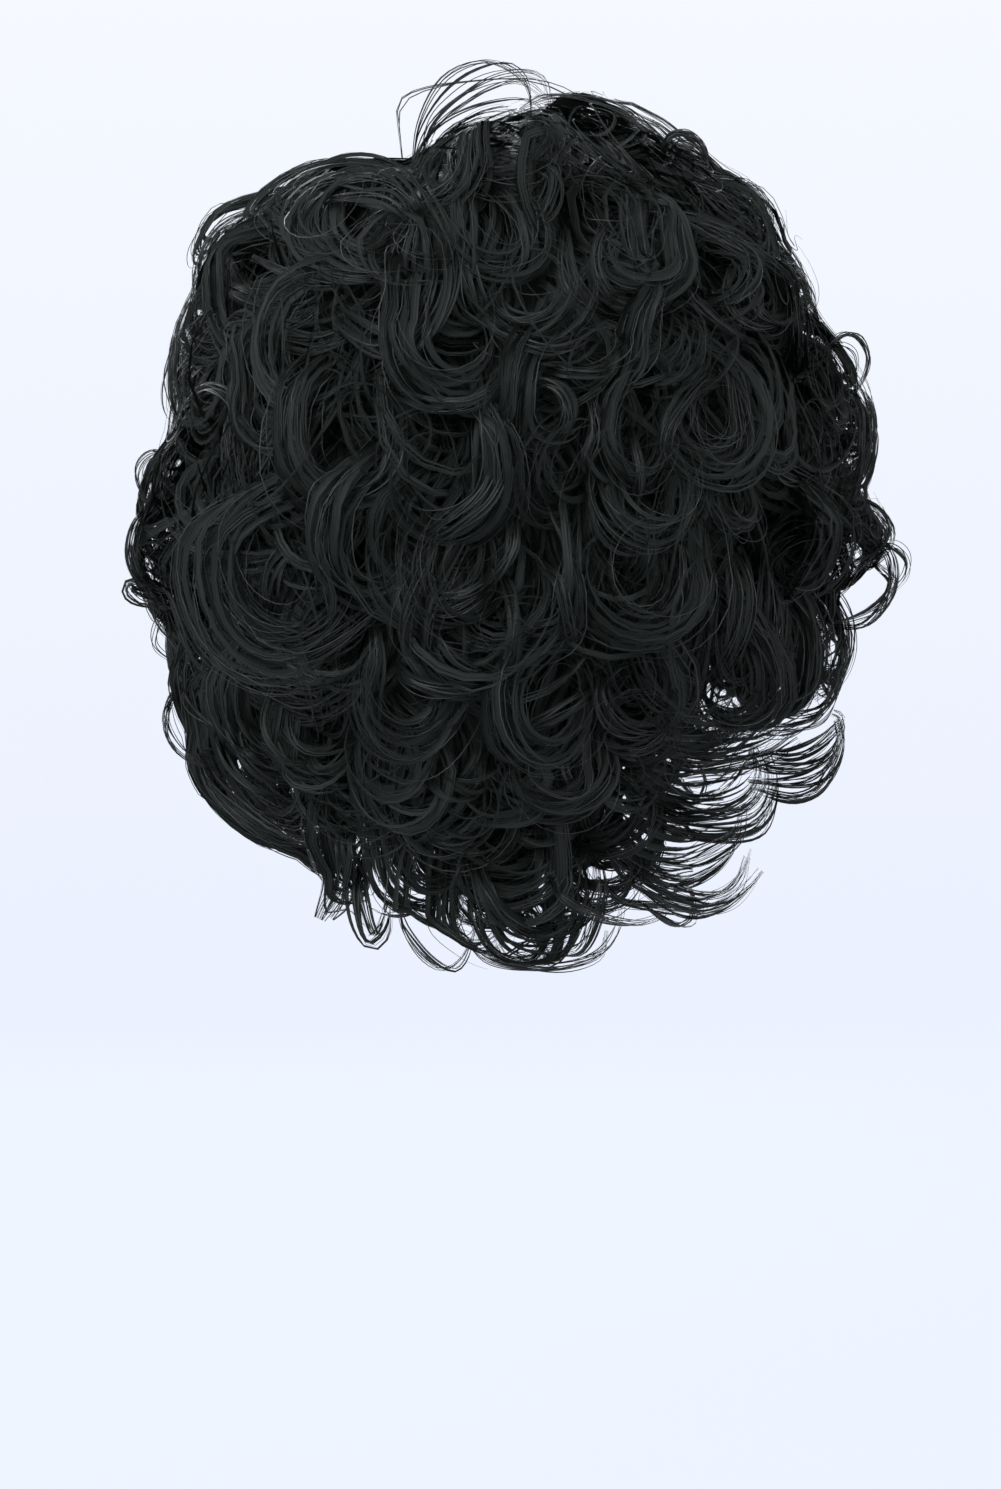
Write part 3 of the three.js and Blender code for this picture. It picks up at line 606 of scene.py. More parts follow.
# Waves and loops of hair that show singly on the back, as points across and up in millimetres.
# Wide is how far their hair spreads, sheets and threads are how many lie in them.
strokes = [
    # wide, sheets, threads, points
    # over the top
    (1.0, 1, 7, [(-33, -2), (-31, 12), (-24, 26), (-15, 34), (-3, 37.5), (5, 34), (9.5, 27), (10, 12)]),
    (0.9, 0, 5, [(-34, 0), (-25, 13), (-14, 20), (0, 23.5), (10, 23), (18, 16)]),
    (0.8, 0, 3, [(-37, 2), (-38, 18), (-34, 24), (-22, 28), (-8, 30), (8, 31), (20, 29), (30, 24), (42, 20),
                 (58, 10)]),
    (3.0, 0, 9, [(-30, 0), (-26, 14), (-16, 24), (-4, 31), (8, 33), (15, 30), (17, 22)]),
    (2.0, 0, 6, [(-33, -2), (-28, 9), (-20, 18), (-8, 26), (6, 30), (16, 24)]),
    (1.0, 0, 4, [(6, 20), (16, 24.5), (32, 23.5), (46, 19), (60, 8)]),
    (1.3, 1, 7, [(58, 4), (61, 11), (66, 12), (72, 8), (75, 1), (74, -6)]),
    (6.0, 2, 6, [(60, 0), (63, 8), (68, 7), (72, 2), (72, -6)]),
    (1.0, 0, 5, [(76, -4), (82, -5), (89, -6), (96, -12), (99, -22), (98, -32)]),
    (1.0, 0, 5, [(98, -26), (104, -34), (110, -40), (114, -47), (115, -56)]),
    (1.2, 0, 6, [(-86, -16), (-95, -18), (-104, -23), (-110, -32), (-113.5, -44), (-112, -54)]),
    (1.2, 0, 4, [(-88, -19), (-98, -23), (-106, -31), (-110, -40)]),
    # the big soft lock at the upper left
    (16, 9, 6, [(-78, -14), (-68, -8), (-55, -5), (-42, -8), (-34, -16), (-30, -28)]),
    (15, 9, 5, [(-60, -4), (-66, -14), (-66, -25), (-58, -33), (-46, -35), (-38, -30)]),
    (6, 5, 9, [(-73, -24), (-71, -33), (-64, -39), (-54, -41.5), (-44, -41), (-36, -38)]),
    (4, 3, 8, [(-92, -34), (-82, -39), (-72, -42.5), (-60, -44), (-50, -43)]),
    (8, 5, 6, [(-104, -44), (-94, -48), (-82, -50), (-70, -48), (-58, -44)]),
    (7, 5, 10, [(-107, -48), (-102, -57), (-90, -60), (-78, -56), (-66, -49), (-58, -44)]),
    (7, 5, 9, [(-104, -60), (-92, -62), (-80, -64), (-68, -66), (-58, -62), (-48, -54)]),
    (13, 9, 7, [(-32, -10), (-24, -28), (-23, -42), (-28, -57), (-36, -67), (-48, -74)]),
    (4, 2, 7, [(-26, -38), (-26, -50), (-31, -62), (-40, -72), (-50, -78), (-60, -80)]),
    (9, 6, 6, [(-66, -50), (-56, -60), (-44, -66), (-36, -60), (-34, -46)]),
    (5, 4, 7, [(-46, -82), (-36, -85), (-24, -88), (-10, -87), (0, -79), (4, -68)]),
    (12, 7, 4, [(-16, -4), (-14, -20), (-15, -38), (-10, -54), (0, -62)]),
    # the left side
    (5, 4, 6, [(-120, -62), (-121, -72), (-122, -82), (-120, -92), (-114, -98)]),
    (4, 3, 6, [(-117, -90), (-112, -83), (-107, -81.5), (-101, -85), (-97, -94), (-99, -104)]),
    (6, 4, 6, [(-92, -76), (-94, -86), (-99, -98), (-98, -110), (-92, -120)]),
    (4, 3, 7, [(-66, -86), (-70, -95), (-76, -108), (-80, -118), (-86, -130)]),
    (7, 5, 7, [(-44, -88), (-40, -100), (-42, -112), (-50, -119), (-62, -121), (-72, -115)]),
    (4, 3, 6, [(-84, -84), (-84, -94), (-90, -104), (-92, -116), (-88, -128)]),
    (3.5, 2, 8, [(-124, -106), (-129, -107), (-132.5, -113), (-131, -121), (-127, -128)]),
    (4.5, 3, 9, [(-128, -124), (-134, -132), (-136, -142), (-133, -151), (-127, -157), (-120, -160)]),
    (4, 2, 8, [(-120, -160), (-130, -155), (-137, -154.5), (-134, -159), (-124, -162), (-116, -162)]),
    (2.2, 2, 9, [(-112, -188), (-118, -191), (-122.5, -198), (-123.5, -206), (-119.5, -214), (-112, -219.5),
                 (-104, -222)]),
    (2.0, 0, 5, [(-113, -186), (-117, -192), (-114, -199), (-108, -204), (-100, -209)]),
    (2.5, 0, 4, [(-122, -160), (-127, -168), (-128, -176), (-122, -182), (-114, -185)]),
    # the big ring at the left and what hangs below it
    (6, 5, 9, [(-104, -142), (-106, -153), (-103, -164), (-94, -175), (-79, -181), (-64, -175), (-50, -165),
               (-38, -155)]),
    (9, 7, 6, [(-92, -138), (-96, -152), (-94, -164), (-86, -173), (-74, -175), (-63, -167), (-57, -154),
               (-59, -140)]),
    (6, 4, 5, [(-76, -136), (-84, -148), (-86, -160), (-81, -170)]),
    (7, 5, 8, [(-100, -182), (-94, -192), (-82, -199), (-70, -202), (-58, -197), (-50, -186), (-47, -172)]),
    (9, 6, 6, [(-90, -184), (-82, -191), (-70, -194), (-58, -188), (-52, -177)]),
    (10, 6, 6, [(-104, -206), (-96, -218), (-84, -226), (-70, -227), (-58, -220)]),
    (5, 4, 9, [(-111, -216), (-107, -227), (-96, -238), (-84, -246), (-72, -249), (-60, -246), (-52, -238)]),
    (9, 6, 6, [(-102, -222), (-92, -233), (-80, -239), (-68, -239), (-58, -232)]),
    (9, 8, 8, [(-54, -222), (-57, -238), (-60, -252), (-62, -265), (-67, -277)]),
    (7, 5, 7, [(-56, -232), (-58, -246), (-58, -258), (-60, -270), (-64, -276)]),
    (0.8, 0, 4, [(-73, -244), (-71, -252), (-68, -260), (-64, -266)]),
    (6, 5, 8, [(-50, -248), (-54, -264), (-52, -278), (-48, -285), (-44, -281), (-42, -270)]),
    (0.6, 0, 5, [(-50, -272), (-42, -275.5), (-34, -275), (-28, -270)]),
    (1.3, 1, 9, [(-38, -266), (-37, -278), (-31, -288), (-24, -294), (-19, -295), (-14, -290), (-10, -280)]),
    # the middle of the back
    (6, 5, 7, [(0, -98), (-2, -112), (-7, -122), (-16, -130), (-28, -138), (-36, -140)]),
    (4, 3, 8, [(-34, -150), (-28, -157), (-18, -158), (-8, -153), (-2, -144)]),
    (4, 3, 8, [(-38, -158), (-30, -163), (-20, -164), (-10, -159), (-2, -152)]),
    (10, 7, 5, [(-30, -164), (-26, -176), (-18, -185), (-6, -188), (4, -182)]),
    (5, 4, 7, [(-42, -180), (-34, -189), (-22, -193), (-10, -192), (0, -184)]),
    (6, 5, 5, [(-47, -164), (-46, -180), (-49, -196), (-48, -212), (-44, -226)]),
    (5, 4, 6, [(-38, -216), (-30, -228), (-20, -232), (-10, -226), (-8, -212)]),
    (4, 3, 7, [(-32, -240), (-24, -248), (-14, -250), (-4, -246), (2, -238)]),
    (5, 4, 6, [(4, -126), (4, -140), (-1, -150), (-10, -158)]),
    (5, 4, 5, [(0, -150), (4, -164), (3, -180), (-1, -194), (-2, -208)]),
    (4, 3, 6, [(12, -144), (20, -152), (23, -163), (26, -174), (32, -184)]),
    (5, 4, 6, [(36, -188), (28, -196), (18, -203), (9, -208), (4, -216)]),
    (6, 5, 5, [(22, -214), (26, -228), (32, -240), (36, -254)]),
    (6, 5, 6, [(37, -182), (36, -196), (43, -206), (55, -208), (64, -202), (70, -192)]),
    (4, 3, 7, [(46, -182), (52, -190), (60, -197), (72, -200), (84, -196)]),
    (5, 4, 6, [(34, -208), (42, -215), (52, -216), (62, -208), (68, -198)]),
    (5, 4, 9, [(62, -128), (67, -142), (67, -154), (60, -166), (50, -171), (38, -171)]),
    (4, 3, 9, [(68, -156), (64, -167), (56, -174), (46, -178), (36, -178)]),
    (9, 7, 7, [(84, -140), (88, -156), (86, -172), (80, -186), (72, -196)]),
    (9, 6, 6, [(100, -146), (104, -162), (103, -178), (98, -192), (88, -202)]),
    (10, 6, 4, [(48, -120), (52, -134), (50, -148), (42, -158)]),
    # the upper right
    (5, 4, 7, [(22, -24), (23, -36), (27, -46), (34, -53), (44, -57)]),
    (8, 6, 5, [(46, -6), (48, -20), (50, -34), (55, -46)]),
    (3, 2, 8, [(54, -20), (60, -28), (62, -38), (59, -49), (50, -57), (42, -60)]),
    (3, 2, 7, [(40, -20), (35, -28), (35, -39), (40, -49), (48, -56)]),
    (7, 5, 6, [(0, 4), (8, 2), (18, -4), (16, -16), (8, -22)]),
    (6, 4, 6, [(4, 14), (14, 14), (18, 6), (14, -2), (4, -4)]),
    (6, 5, 8, [(-6, -56), (4, -64), (16, -67), (28, -64), (38, -57)]),
    (4, 3, 8, [(12, -72), (24, -76), (36, -76), (46, -70)]),
    (3, 3, 7, [(83, -38), (82, -48), (86, -56), (94, -60), (104, -58)]),
    (2.5, 2, 6, [(90, -40), (92, -49), (97, -56), (106, -60)]),
    (3, 3, 7, [(70, -36), (68, -46), (74, -55), (84, -62), (94, -66)]),
    (7, 6, 7, [(62, -18), (74, -22), (86, -28), (96, -36), (106, -46)]),
    (8, 6, 6, [(70, -6), (82, -12), (92, -20), (98, -30)]),
    (5, 4, 7, [(82, -74), (74, -78), (66, -87), (60, -98), (61, -110), (68, -118)]),
    (5, 4, 7, [(80, -74), (87, -84), (89, -96), (86, -108), (78, -116), (68, -118)]),
    (4, 3, 7, [(6, -84), (14, -80), (21, -83), (24, -91), (21, -99), (12, -104)]),
    (4, 3, 6, [(30, -78), (33, -88), (34, -98), (31, -108), (34, -120)]),
    (3, 3, 6, [(46, -94), (49, -106), (50, -118), (46, -130)]),
    (3, 3, 8, [(98, -104), (102, -114), (110, -117), (117, -112), (119, -102)]),
    (6, 4, 8, [(126, -80), (133, -88), (134, -100), (132, -112), (126, -120), (116, -122)]),
    (1.6, 1, 8, [(114, -70), (120, -66), (126, -62), (131, -64), (134, -71), (132, -79), (127, -86)]),
    (1.5, 0, 3, [(117, -68), (124, -66), (129, -69), (130, -76), (128, -82)]),
    # loops at the right edge and the lower right corner
    (4, 3, 9, [(118, -122), (128, -123), (137, -126), (142, -133), (140, -140), (132, -146), (120, -150)]),
    (3.0, 2, 8, [(134, -138), (141, -142), (143, -152), (140, -162), (133, -169), (124, -169), (116, -164)]),
    (2.5, 1, 7, [(136, -146), (143, -153), (138, -161), (129, -166), (120, -168), (112, -166)]),
    (3.0, 1, 5, [(136, -138), (144, -139), (148.5, -144), (148, -151), (142, -158)]),
    (6, 4, 7, [(112, -150), (120, -158), (125, -168), (126, -179), (122, -190), (114, -196)]),
    (3.0, 2, 8, [(98, -200), (108, -202), (117, -199), (122, -191), (123, -182)]),
    (3.6, 2, 8, [(94, -208), (106, -207), (116, -203), (122, -194), (124, -186)]),
    (3.4, 2, 9, [(94, -216), (106, -217), (114, -214), (121, -208), (124, -203), (121, -201)]),
    (3.6, 3, 8, [(88, -219), (102, -222), (112, -221), (120, -216), (124, -208), (123, -202)]),
    (3.6, 2, 9, [(90, -226), (104, -227), (113, -225), (120, -219), (123, -211), (122, -204)]),
    (3.4, 2, 9, [(92, -229), (106, -232), (115, -229), (121, -221), (124, -211), (123, -204)]),
    (8, 6, 6, [(48, -200), (64, -207), (80, -208), (94, -204), (104, -194)]),
    (7, 6, 6, [(50, -208), (66, -213), (82, -215), (96, -212), (107, -204)]),
    (6, 5, 6, [(50, -215), (68, -220), (84, -220), (98, -217), (108, -210)]),
    (14, 8, 3, [(44, -220), (58, -231), (70, -236), (81, -233)]),
    (12, 7, 3, [(42, -234), (54, -245), (66, -249), (76, -246)]),
    (10, 6, 3, [(38, -247), (48, -257), (58, -262), (70, -261)]),
    (4, 3, 8, [(48, -222), (62, -225), (74, -224), (86, -222), (98, -218)]),
    (8, 7, 9, [(50, -228), (64, -235), (80, -236), (90, -231), (94, -223), (92, -214)]),
    (7, 6, 10, [(48, -236), (62, -241), (78, -242), (90, -240), (97, -233), (99, -224), (97, -215)]),
    (3.4, 3, 8, [(50, -240), (66, -246), (82, -247), (93, -244), (98, -236), (99, -227)]),
    (5, 4, 10, [(42, -246), (55, -254), (68, -256), (78, -252), (86, -246), (88, -236)]),
    (4.6, 4, 10, [(42, -252), (53, -260), (64, -264), (74, -261), (82, -255), (88, -246)]),
    (4, 3, 9, [(44, -256), (57, -265), (70, -269), (80, -268), (87, -262), (90, -254)]),
    (4.4, 4, 10, [(46, -262), (60, -270), (72, -273.5), (82, -271), (90, -265), (95, -259)]),
    (0.8, 0, 4, [(62, -264), (72, -267), (82, -266), (88, -259), (91, -251)]),
    (1.4, 0, 5, [(70, -218), (74, -226), (72, -233), (66, -238)]),
    (1.6, 0, 6, [(92, -212), (88, -221), (82, -228), (74, -233)]),
    (1.6, 1, 8, [(16, -258), (20, -267), (28, -273), (38, -277), (50, -278), (60, -274), (64, -266)]),
    (1.6, 1, 7, [(4, -268), (12, -276), (20, -278), (28, -275), (33, -266), (34, -256)]),
    (3.4, 3, 8, [(34, -262), (42, -270), (52, -272), (62, -273), (70, -274), (76, -271)]),
    (1.6, 1, 7, [(50, -270), (58, -276), (65, -279), (69.5, -276), (69, -267), (64, -260)]),
    (4.0, 3, 9, [(12, -284), (18, -292), (24, -286), (28, -275), (30, -262), (28, -250)]),
    (4.0, 1, 9, [(20, -290), (28, -288), (33, -276), (36, -264), (35, -252)]),
    (2.5, 0, 5, [(26, -292), (36, -288), (42, -280), (44, -270)]),
    (2.5, 3, 9, [(-14, -284), (-6, -291), (4, -294), (16, -295), (28, -293), (36, -289), (38, -281)]),
    (7, 5, 7, [(-10, -262), (-8, -276), (-2, -287), (8, -291), (18, -286)]),
    (9, 6, 4, [(-12, -250), (-6, -268), (4, -280), (16, -284), (26, -278)]),
    (8, 6, 4, [(4, -254), (10, -268), (20, -278), (30, -276), (36, -266)]),
]


strokeForm = {
    "points": 22,
    "slip": 0.06,           # how far strands slip along the stroke
    "rise": (7, 12),        # how far its middle stands off the hair, and its ends dip into it
    "bend": (9, 8),         # how far a bundle clear of the cap bends to and fro, and its tip swings
    "scatter": 3.5,
    "behind": 52,           # at the nape strokes lie at least this far back, and 4 elsewhere
}


def curveThrough(points, count):
    # an even smooth curve through the points
    step = np.linalg.norm(np.diff(points, axis=0), axis=1)
    knots = np.concatenate([[0], np.cumsum(step)])
    share = np.linspace(0, knots[-1], count)
    ends = np.concatenate([2 * points[:1] - points[1:2], points, 2 * points[-1:] - points[-2:-1]])
    spans = np.concatenate([[2 * step[0]], step[:-1] + step[1:], [2 * step[-1]]])
    slopes = (ends[2:] - ends[:-2]) / spans[:, None]
    i = np.clip(np.searchsorted(knots, share, side="right") - 1, 0, len(step) - 1)
    t = ((share - knots[i]) / step[i])[:, None]
    lengths = step[i][:, None]
    return ((2 * t ** 3 - 3 * t * t + 1) * points[i] + (t ** 3 - 2 * t * t + t) * lengths * slopes[i]
            + (3 * t * t - 2 * t ** 3) * points[i + 1] + (t ** 3 - t * t) * lengths * slopes[i + 1])


def strokeLines(stroke, rng):
    # the middle lines of a stroke's sheets and threads
    wide, sheets, threads, points = stroke
    count = sheets + threads
    middle = curveThrough(np.array(points, dtype=float), strokeForm["points"])
    slope = np.gradient(middle, axis=0)
    way = unit(slope)
    aside = np.stack([-way[:, 1], way[:, 0]], axis=1)
    along = np.linspace(0, 1, len(middle))
    spread = (0.5 + 0.5 * np.sin(math.pi * along)) * wide / 2
    offset = np.concatenate([np.linspace(-1, 1, sheets) if sheets else [], rng.uniform(-1, 1, threads)])
    weave = np.sin(2 * math.pi * rng.uniform(0.6, 1.4, count)[:, None] * along
                   + rng.uniform(0, 6.3, count)[:, None])
    offset = offset[:, None] * spread + weave * (0.25 + 0.1 * wide)
    seen = middle + aside * offset[..., None]
    slip = rng.uniform(-strokeForm["slip"], strokeForm["slip"], count)[:, None] * slope[None, :, 0]
    seen[..., 0] += slip * len(middle) * np.sin(math.pi * along)
    line = overHair(seen[..., 0], seen[..., 1])
    stands, dips = strokeForm["rise"]
    rise = stands * np.sin(math.pi * along) - dips * np.abs(2 * along - 1) ** 3
    rise = rise + rng.normal(0, 1.2, count)[:, None]
    rise = np.where(np.arange(count)[:, None] < sheets, rise - 1.5, rise)
    # what stands clear of the cap also bends to and from it, each bundle its own way
    clear = (smooth(np.abs(line[..., 0]), 78, 100) + smooth(-line[..., 2], 215, 240)
             + smooth(line[..., 2], 12, 24))
    bends, swings = strokeForm["bend"]
    bend = rng.normal(0, bends) * np.sin(math.pi * along * rng.uniform(0.8, 1.6) + rng.uniform(0, 3))
    bend = bend + rng.normal(0, swings) * (along - 0.3)
    scatter = rng.normal(0, strokeForm["scatter"], count)[:, None] * along
    leastBack = strokeForm["behind"] * smooth(-line[..., 2], 185, 215)
    y = np.maximum(line[..., 1], leastBack) + rise + np.minimum(clear, 1) * (bend + scatter)
    y = np.maximum(y, 4)
    x, z = placeAt(seen[..., 0], seen[..., 1], y)
    return np.stack([x, y, z], axis=-1)


hairParts = {row["node"]: [] for row in rows}
fillParts = {row["node"]: [] for row in rows}
for stroke in strokes:
    line = strokeLines(stroke, rng)
    sheets, threads = stroke[1], stroke[2]
    middle = line[:, 8:14].reshape(-1, 3).mean(axis=0)
    turn, fall = anglesAt(middle)
    node = rowOf({"turn": turn, "fall": fall})
    facing = unit(outwards(middle) + np.array([0, 0.8, 0]))
    tone = rng.uniform(0, 1)
    if sheets:
        half = np.minimum(1.9, 0.95 * stroke[0] / (sheets + 1)) * rng.uniform(0.8, 1.3, sheets)
        tones = np.clip(tone * 0.6 + rng.uniform(0, 0.4, sheets), 0, 1)
        hairParts[node].append(tubes(line[:sheets], half, np.clip(half * 0.1, 0.14, 0.3),
                                     np.tile(facing, (sheets, 1)), tones, 0.1, rng))
    half = curls["threadHalf"] * rng.uniform(0.7, 1.4, threads)
    hairParts[node].append(tubes(line[sheets:], half, half, np.tile(facing, (threads, 1)),
                                 rng.uniform(0, 1, threads), threadFray, rng))
for i, lock in enumerate(locks):
    (fillParts if i >= charted else hairParts)[rowOf(lock)].extend(hairOfLock(lock, rng, i >= charted))
print("locks made:", charted, "in the outer layer,", len(locks) - charted, "inside")

# Loose strands that stand off the curls
loose = {"count": 160, "half": 0.16}
for i in rng.integers(0, charted, loose["count"]):
    lock = dict(locks[i])
    lock["radius"] = lock["radius"] * rng.uniform(0.8, 1.2)
    lock["centre"] = lock["centre"] + rng.normal(0, 3, 3)
    line = settle(strandsOf(lock, 1, rng, 1.3))
    half = np.array([loose["half"]]) * rng.uniform(0.8, 1.3)
    part = tubes(line, half, half, lock["out"][None, :], np.array([rng.uniform(0, 1)]), threadFray, rng)
    hairParts[rowOf(lock)].append(part)


def newMaterial(name):
    material = bpy.data.materials.new(name)
    material.use_nodes = True
    return material, material.node_tree, material.node_tree.nodes["Principled BSDF"]


def newGroup(name, inputs, outputs):
    # a node group with named sockets, and the sockets of its two end nodes
    group = bpy.data.node_groups.new(name, "ShaderNodeTree")
    for way, sockets in (("INPUT", inputs), ("OUTPUT", outputs)):
        for title, kind in sockets:
            group.interface.new_socket(title, in_out=way, socket_type="NodeSocket" + kind)
    return group, group.nodes.new("NodeGroupInput").outputs, group.nodes.new("NodeGroupOutput").inputs


def placeGroup(tree, group, values):
    node = tree.nodes.new("ShaderNodeGroup")
    node.node_tree = group
    for title, value in values.items():
        node.inputs[title].default_value = value
    return node.outputs


def mathIn(tree, operation, first, second, third=None, clamp=False):
    node = tree.nodes.new("ShaderNodeMath")
    node.operation = operation
    node.use_clamp = clamp
    for socket, value in zip(node.inputs, (first, second, third)):
        if isinstance(value, (int, float)):
            socket.default_value = value
        elif value is not None:
            tree.links.new(value, socket)
    return node.outputs["Value"]


def noiseIn(tree, vector, scale, detail=2.0, stretch=(1, 1, 1)):
    mapping = tree.nodes.new("ShaderNodeMapping")
    mapping.inputs["Scale"].default_value = stretch
    tree.links.new(vector, mapping.inputs["Vector"])
    noise = tree.nodes.new("ShaderNodeTexNoise")
    noise.inputs["Scale"].default_value = scale
    noise.inputs["Detail"].default_value = detail
    tree.links.new(mapping.outputs["Vector"], noise.inputs["Vector"])
    return noise.outputs


def blendIn(tree, value, low, high, first, second):
    # goes from the first colour to the second while the value goes from low to high
    share = tree.nodes.new("ShaderNodeMapRange")
    share.inputs["From Min"].default_value = low
    share.inputs["From Max"].default_value = high
    tree.links.new(value, share.inputs["Value"])
    mix = tree.nodes.new("ShaderNodeMix")
    mix.data_type = "RGBA"
    tree.links.new(share.outputs["Result"], mix.inputs["Factor"])
    for socket, colour in ((mix.inputs["A"], first), (mix.inputs["B"], second)):
        if isinstance(colour, tuple):
            socket.default_value = colour + (1,)
        else:
            tree.links.new(colour, socket)
    return mix.outputs["Result"]


def bumpIn(tree, shader, height, distance, strength=1.0):
    bump = tree.nodes.new("ShaderNodeBump")
    bump.inputs["Strength"].default_value = strength
    bump.inputs["Distance"].default_value = distance
    tree.links.new(height, bump.inputs["Height"])
    tree.links.new(bump.outputs["Normal"], shader.inputs["Normal"])
    return bump


# Strands of hair: the UV map holds millimetres across and along each strand, so its streaks are
# single hairs. Gaps open between them at a sheet's edges and towards its tip.
strandLook = {"stretch": (1.5, 0.022, 1), "detail": 2.5, "edgeGap": 0.2, "tipGap": 0.2, "sharpness": 16.0,
              "toneShare": 0.45, "darkAt": 0.42, "lightAt": 0.95, "rough": 0.76, "gloss": 0.45,
              "threadGloss": 0.14, "threadCoat": 0.9, "curve": 0.8}
hairStrands, given, made = newGroup(
    "hairStrands", (("Dark", "Color"), ("Light", "Color"), ("Gaps", "Float")),
    (("Color", "Color"), ("Cover", "Float"), ("Roughness", "Float"), ("Coat", "Float"), ("Height", "Float")))
strandMap = hairStrands.nodes.new("ShaderNodeUVMap")
strandMap.uv_map = "strand"
streak = noiseIn(hairStrands, strandMap.outputs["UV"], 1, strandLook["detail"], strandLook["stretch"])["Fac"]
stored = {}
for title in ("tone", "fray", "side"):
    attribute = hairStrands.nodes.new("ShaderNodeAttribute")
    attribute.attribute_name = title
    stored[title] = attribute.outputs["Fac"]
edge = mathIn(hairStrands, "MULTIPLY", stored["side"], stored["side"])
level = mathIn(hairStrands, "MULTIPLY_ADD", edge, strandLook["edgeGap"], given["Gaps"])
level = mathIn(hairStrands, "MULTIPLY_ADD", stored["fray"], strandLook["tipGap"], level)
cover = mathIn(hairStrands, "SUBTRACT", streak, level)
cover = mathIn(hairStrands, "MULTIPLY", cover, strandLook["sharpness"], clamp=True)
shade = mathIn(hairStrands, "MULTIPLY_ADD", stored["tone"], strandLook["toneShare"], streak)
colour = blendIn(hairStrands, shade, strandLook["darkAt"], strandLook["lightAt"],
                 given["Dark"], given["Light"])
# single threads are glossier than the sheets
thread = mathIn(hairStrands, "MULTIPLY", stored["fray"], -0.3, clamp=True)
rough = mathIn(hairStrands, "MULTIPLY_ADD", streak, -strandLook["gloss"], strandLook["rough"])
rough = mathIn(hairStrands, "MULTIPLY_ADD", thread, -strandLook["threadGloss"], rough)
coat = mathIn(hairStrands, "MULTIPLY", thread, strandLook["threadCoat"])
height = mathIn(hairStrands, "MULTIPLY_ADD", edge, -strandLook["curve"], streak)
for title, value in (("Color", colour), ("Cover", cover), ("Roughness", rough), ("Coat", coat),
                     ("Height", height)):
    hairStrands.links.new(value, made[title])


def hairMaterial(name, dark, light, gaps):
    material, tree, shader = newMaterial(name)
    strands = placeGroup(tree, hairStrands, {"Dark": dark + (1,), "Light": light + (1,), "Gaps": gaps})
    shader.inputs["IOR"].default_value = 1.33
    shader.inputs["Coat Roughness"].default_value = 0.3
    for title, socket in (("Color", "Base Color"), ("Cover", "Alpha"), ("Roughness", "Roughness"),
                          ("Coat", "Coat Weight")):
        tree.links.new(strands[title], shader.inputs[socket])
    bumpIn(tree, shader, strands["Height"], 0.0007, 0.8)
    return material


hairOuter = hairMaterial("hairOuter", (0.0036, 0.0047, 0.0038), (0.0102, 0.0131, 0.0106), 0.34)
# the inner fill hair is a lighter copy of the outer hair: painted light that lifts the shade deep among the
# curls
hairInnerPaintedLight = hairMaterial("hairInnerPaintedLight", (0.0074, 0.0096, 0.0078), (0.0126, 0.0162, 0.0132), 0.38)
for row in rows:
    for title, parts, material in (("_locks", hairParts, hairOuter), ("_fill", fillParts, hairInnerPaintedLight)):
        if not parts[row["node"]]:
            continue
        piece = meshObject(row["node"] + title, joinParts(parts[row["node"]]))
        piece.data.materials.append(material)
        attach(piece, "root")
        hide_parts(row["node"])
        piece.data.calc_loop_triangles()
        print(piece.name, len(piece.data.loop_triangles), "triangles")


def bedMaterial(name):
    # hair combed down: streaks that run down and lean to and fro, in colours lighter than the outer hair's
    # as painted light that lifts the shade under the curls
    material, tree, shader = newMaterial(name)
    shader.inputs["IOR"].default_value = 1.38
    place = tree.nodes.new("ShaderNodeTexCoord").outputs["Object"]
    moved = tree.nodes.new("ShaderNodeMix")
    moved.data_type = "VECTOR"
    moved.inputs["Factor"].default_value = 0.03
    tree.links.new(place, moved.inputs["A"])
    tree.links.new(noiseIn(tree, place, 16)["Color"], moved.inputs["B"])
    streak = noiseIn(tree, moved.outputs["Result"], 1, stretch=(700, 700, 24))["Fac"]
    # these colours are lighter than the outer hair's: painted light against the shade deep under the curls
    colour = blendIn(tree, streak, 0.35, 0.7, (0.010, 0.0127, 0.0107), (0.018, 0.0226, 0.0192))
    tree.links.new(colour, shader.inputs["Base Color"])
    tree.links.new(mathIn(tree, "MULTIPLY_ADD", streak, -0.22, 0.62), shader.inputs["Roughness"])
    bumpIn(tree, shader, streak, 0.0008)
    return material


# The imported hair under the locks, open in front and over the nape. Its lower edge is the fall at
# each turn from the back, in degrees, and it stays off the hollow, in metres.
bed = {"depth": 0.44, "lower": 0.16, "wall": 0.006, "inside": 9, "frontTurn": 126, "frontFall": 58,
       "edgeTurns": (0, 40, 70, 92), "edgeFalls": (150, 144, 122, 113), "hollow": (0.056, 0.05, -0.15)}
bpy.ops.mesh.primitive_uv_sphere_add(segments=56, ring_count=36, radius=1.0, location=(0, 0, 0))
underHair = bpy.context.active_object
underHair.name = "packed_hair"
bpy.ops.object.mode_set(mode="EDIT")
bpy.ops.mesh.select_all(action="DESELECT")
bpy.ops.object.mode_set(mode="OBJECT")
for vertex in underHair.data.vertices:
    turn = math.atan2(vertex.co.x, vertex.co.y)
    fall = math.acos(max(-1, min(1, vertex.co.z)))
    place = onHair(bed["depth"] + bed["lower"] * float(smooth(fall, 1.7, 2.4)), turn, fall)
    reach, distance = outlineAt(*seenAt(*place))
    vertex.co = drawn(place, min(1.0, float((reach - bed["inside"]) / max(distance, 1)))) / 1000
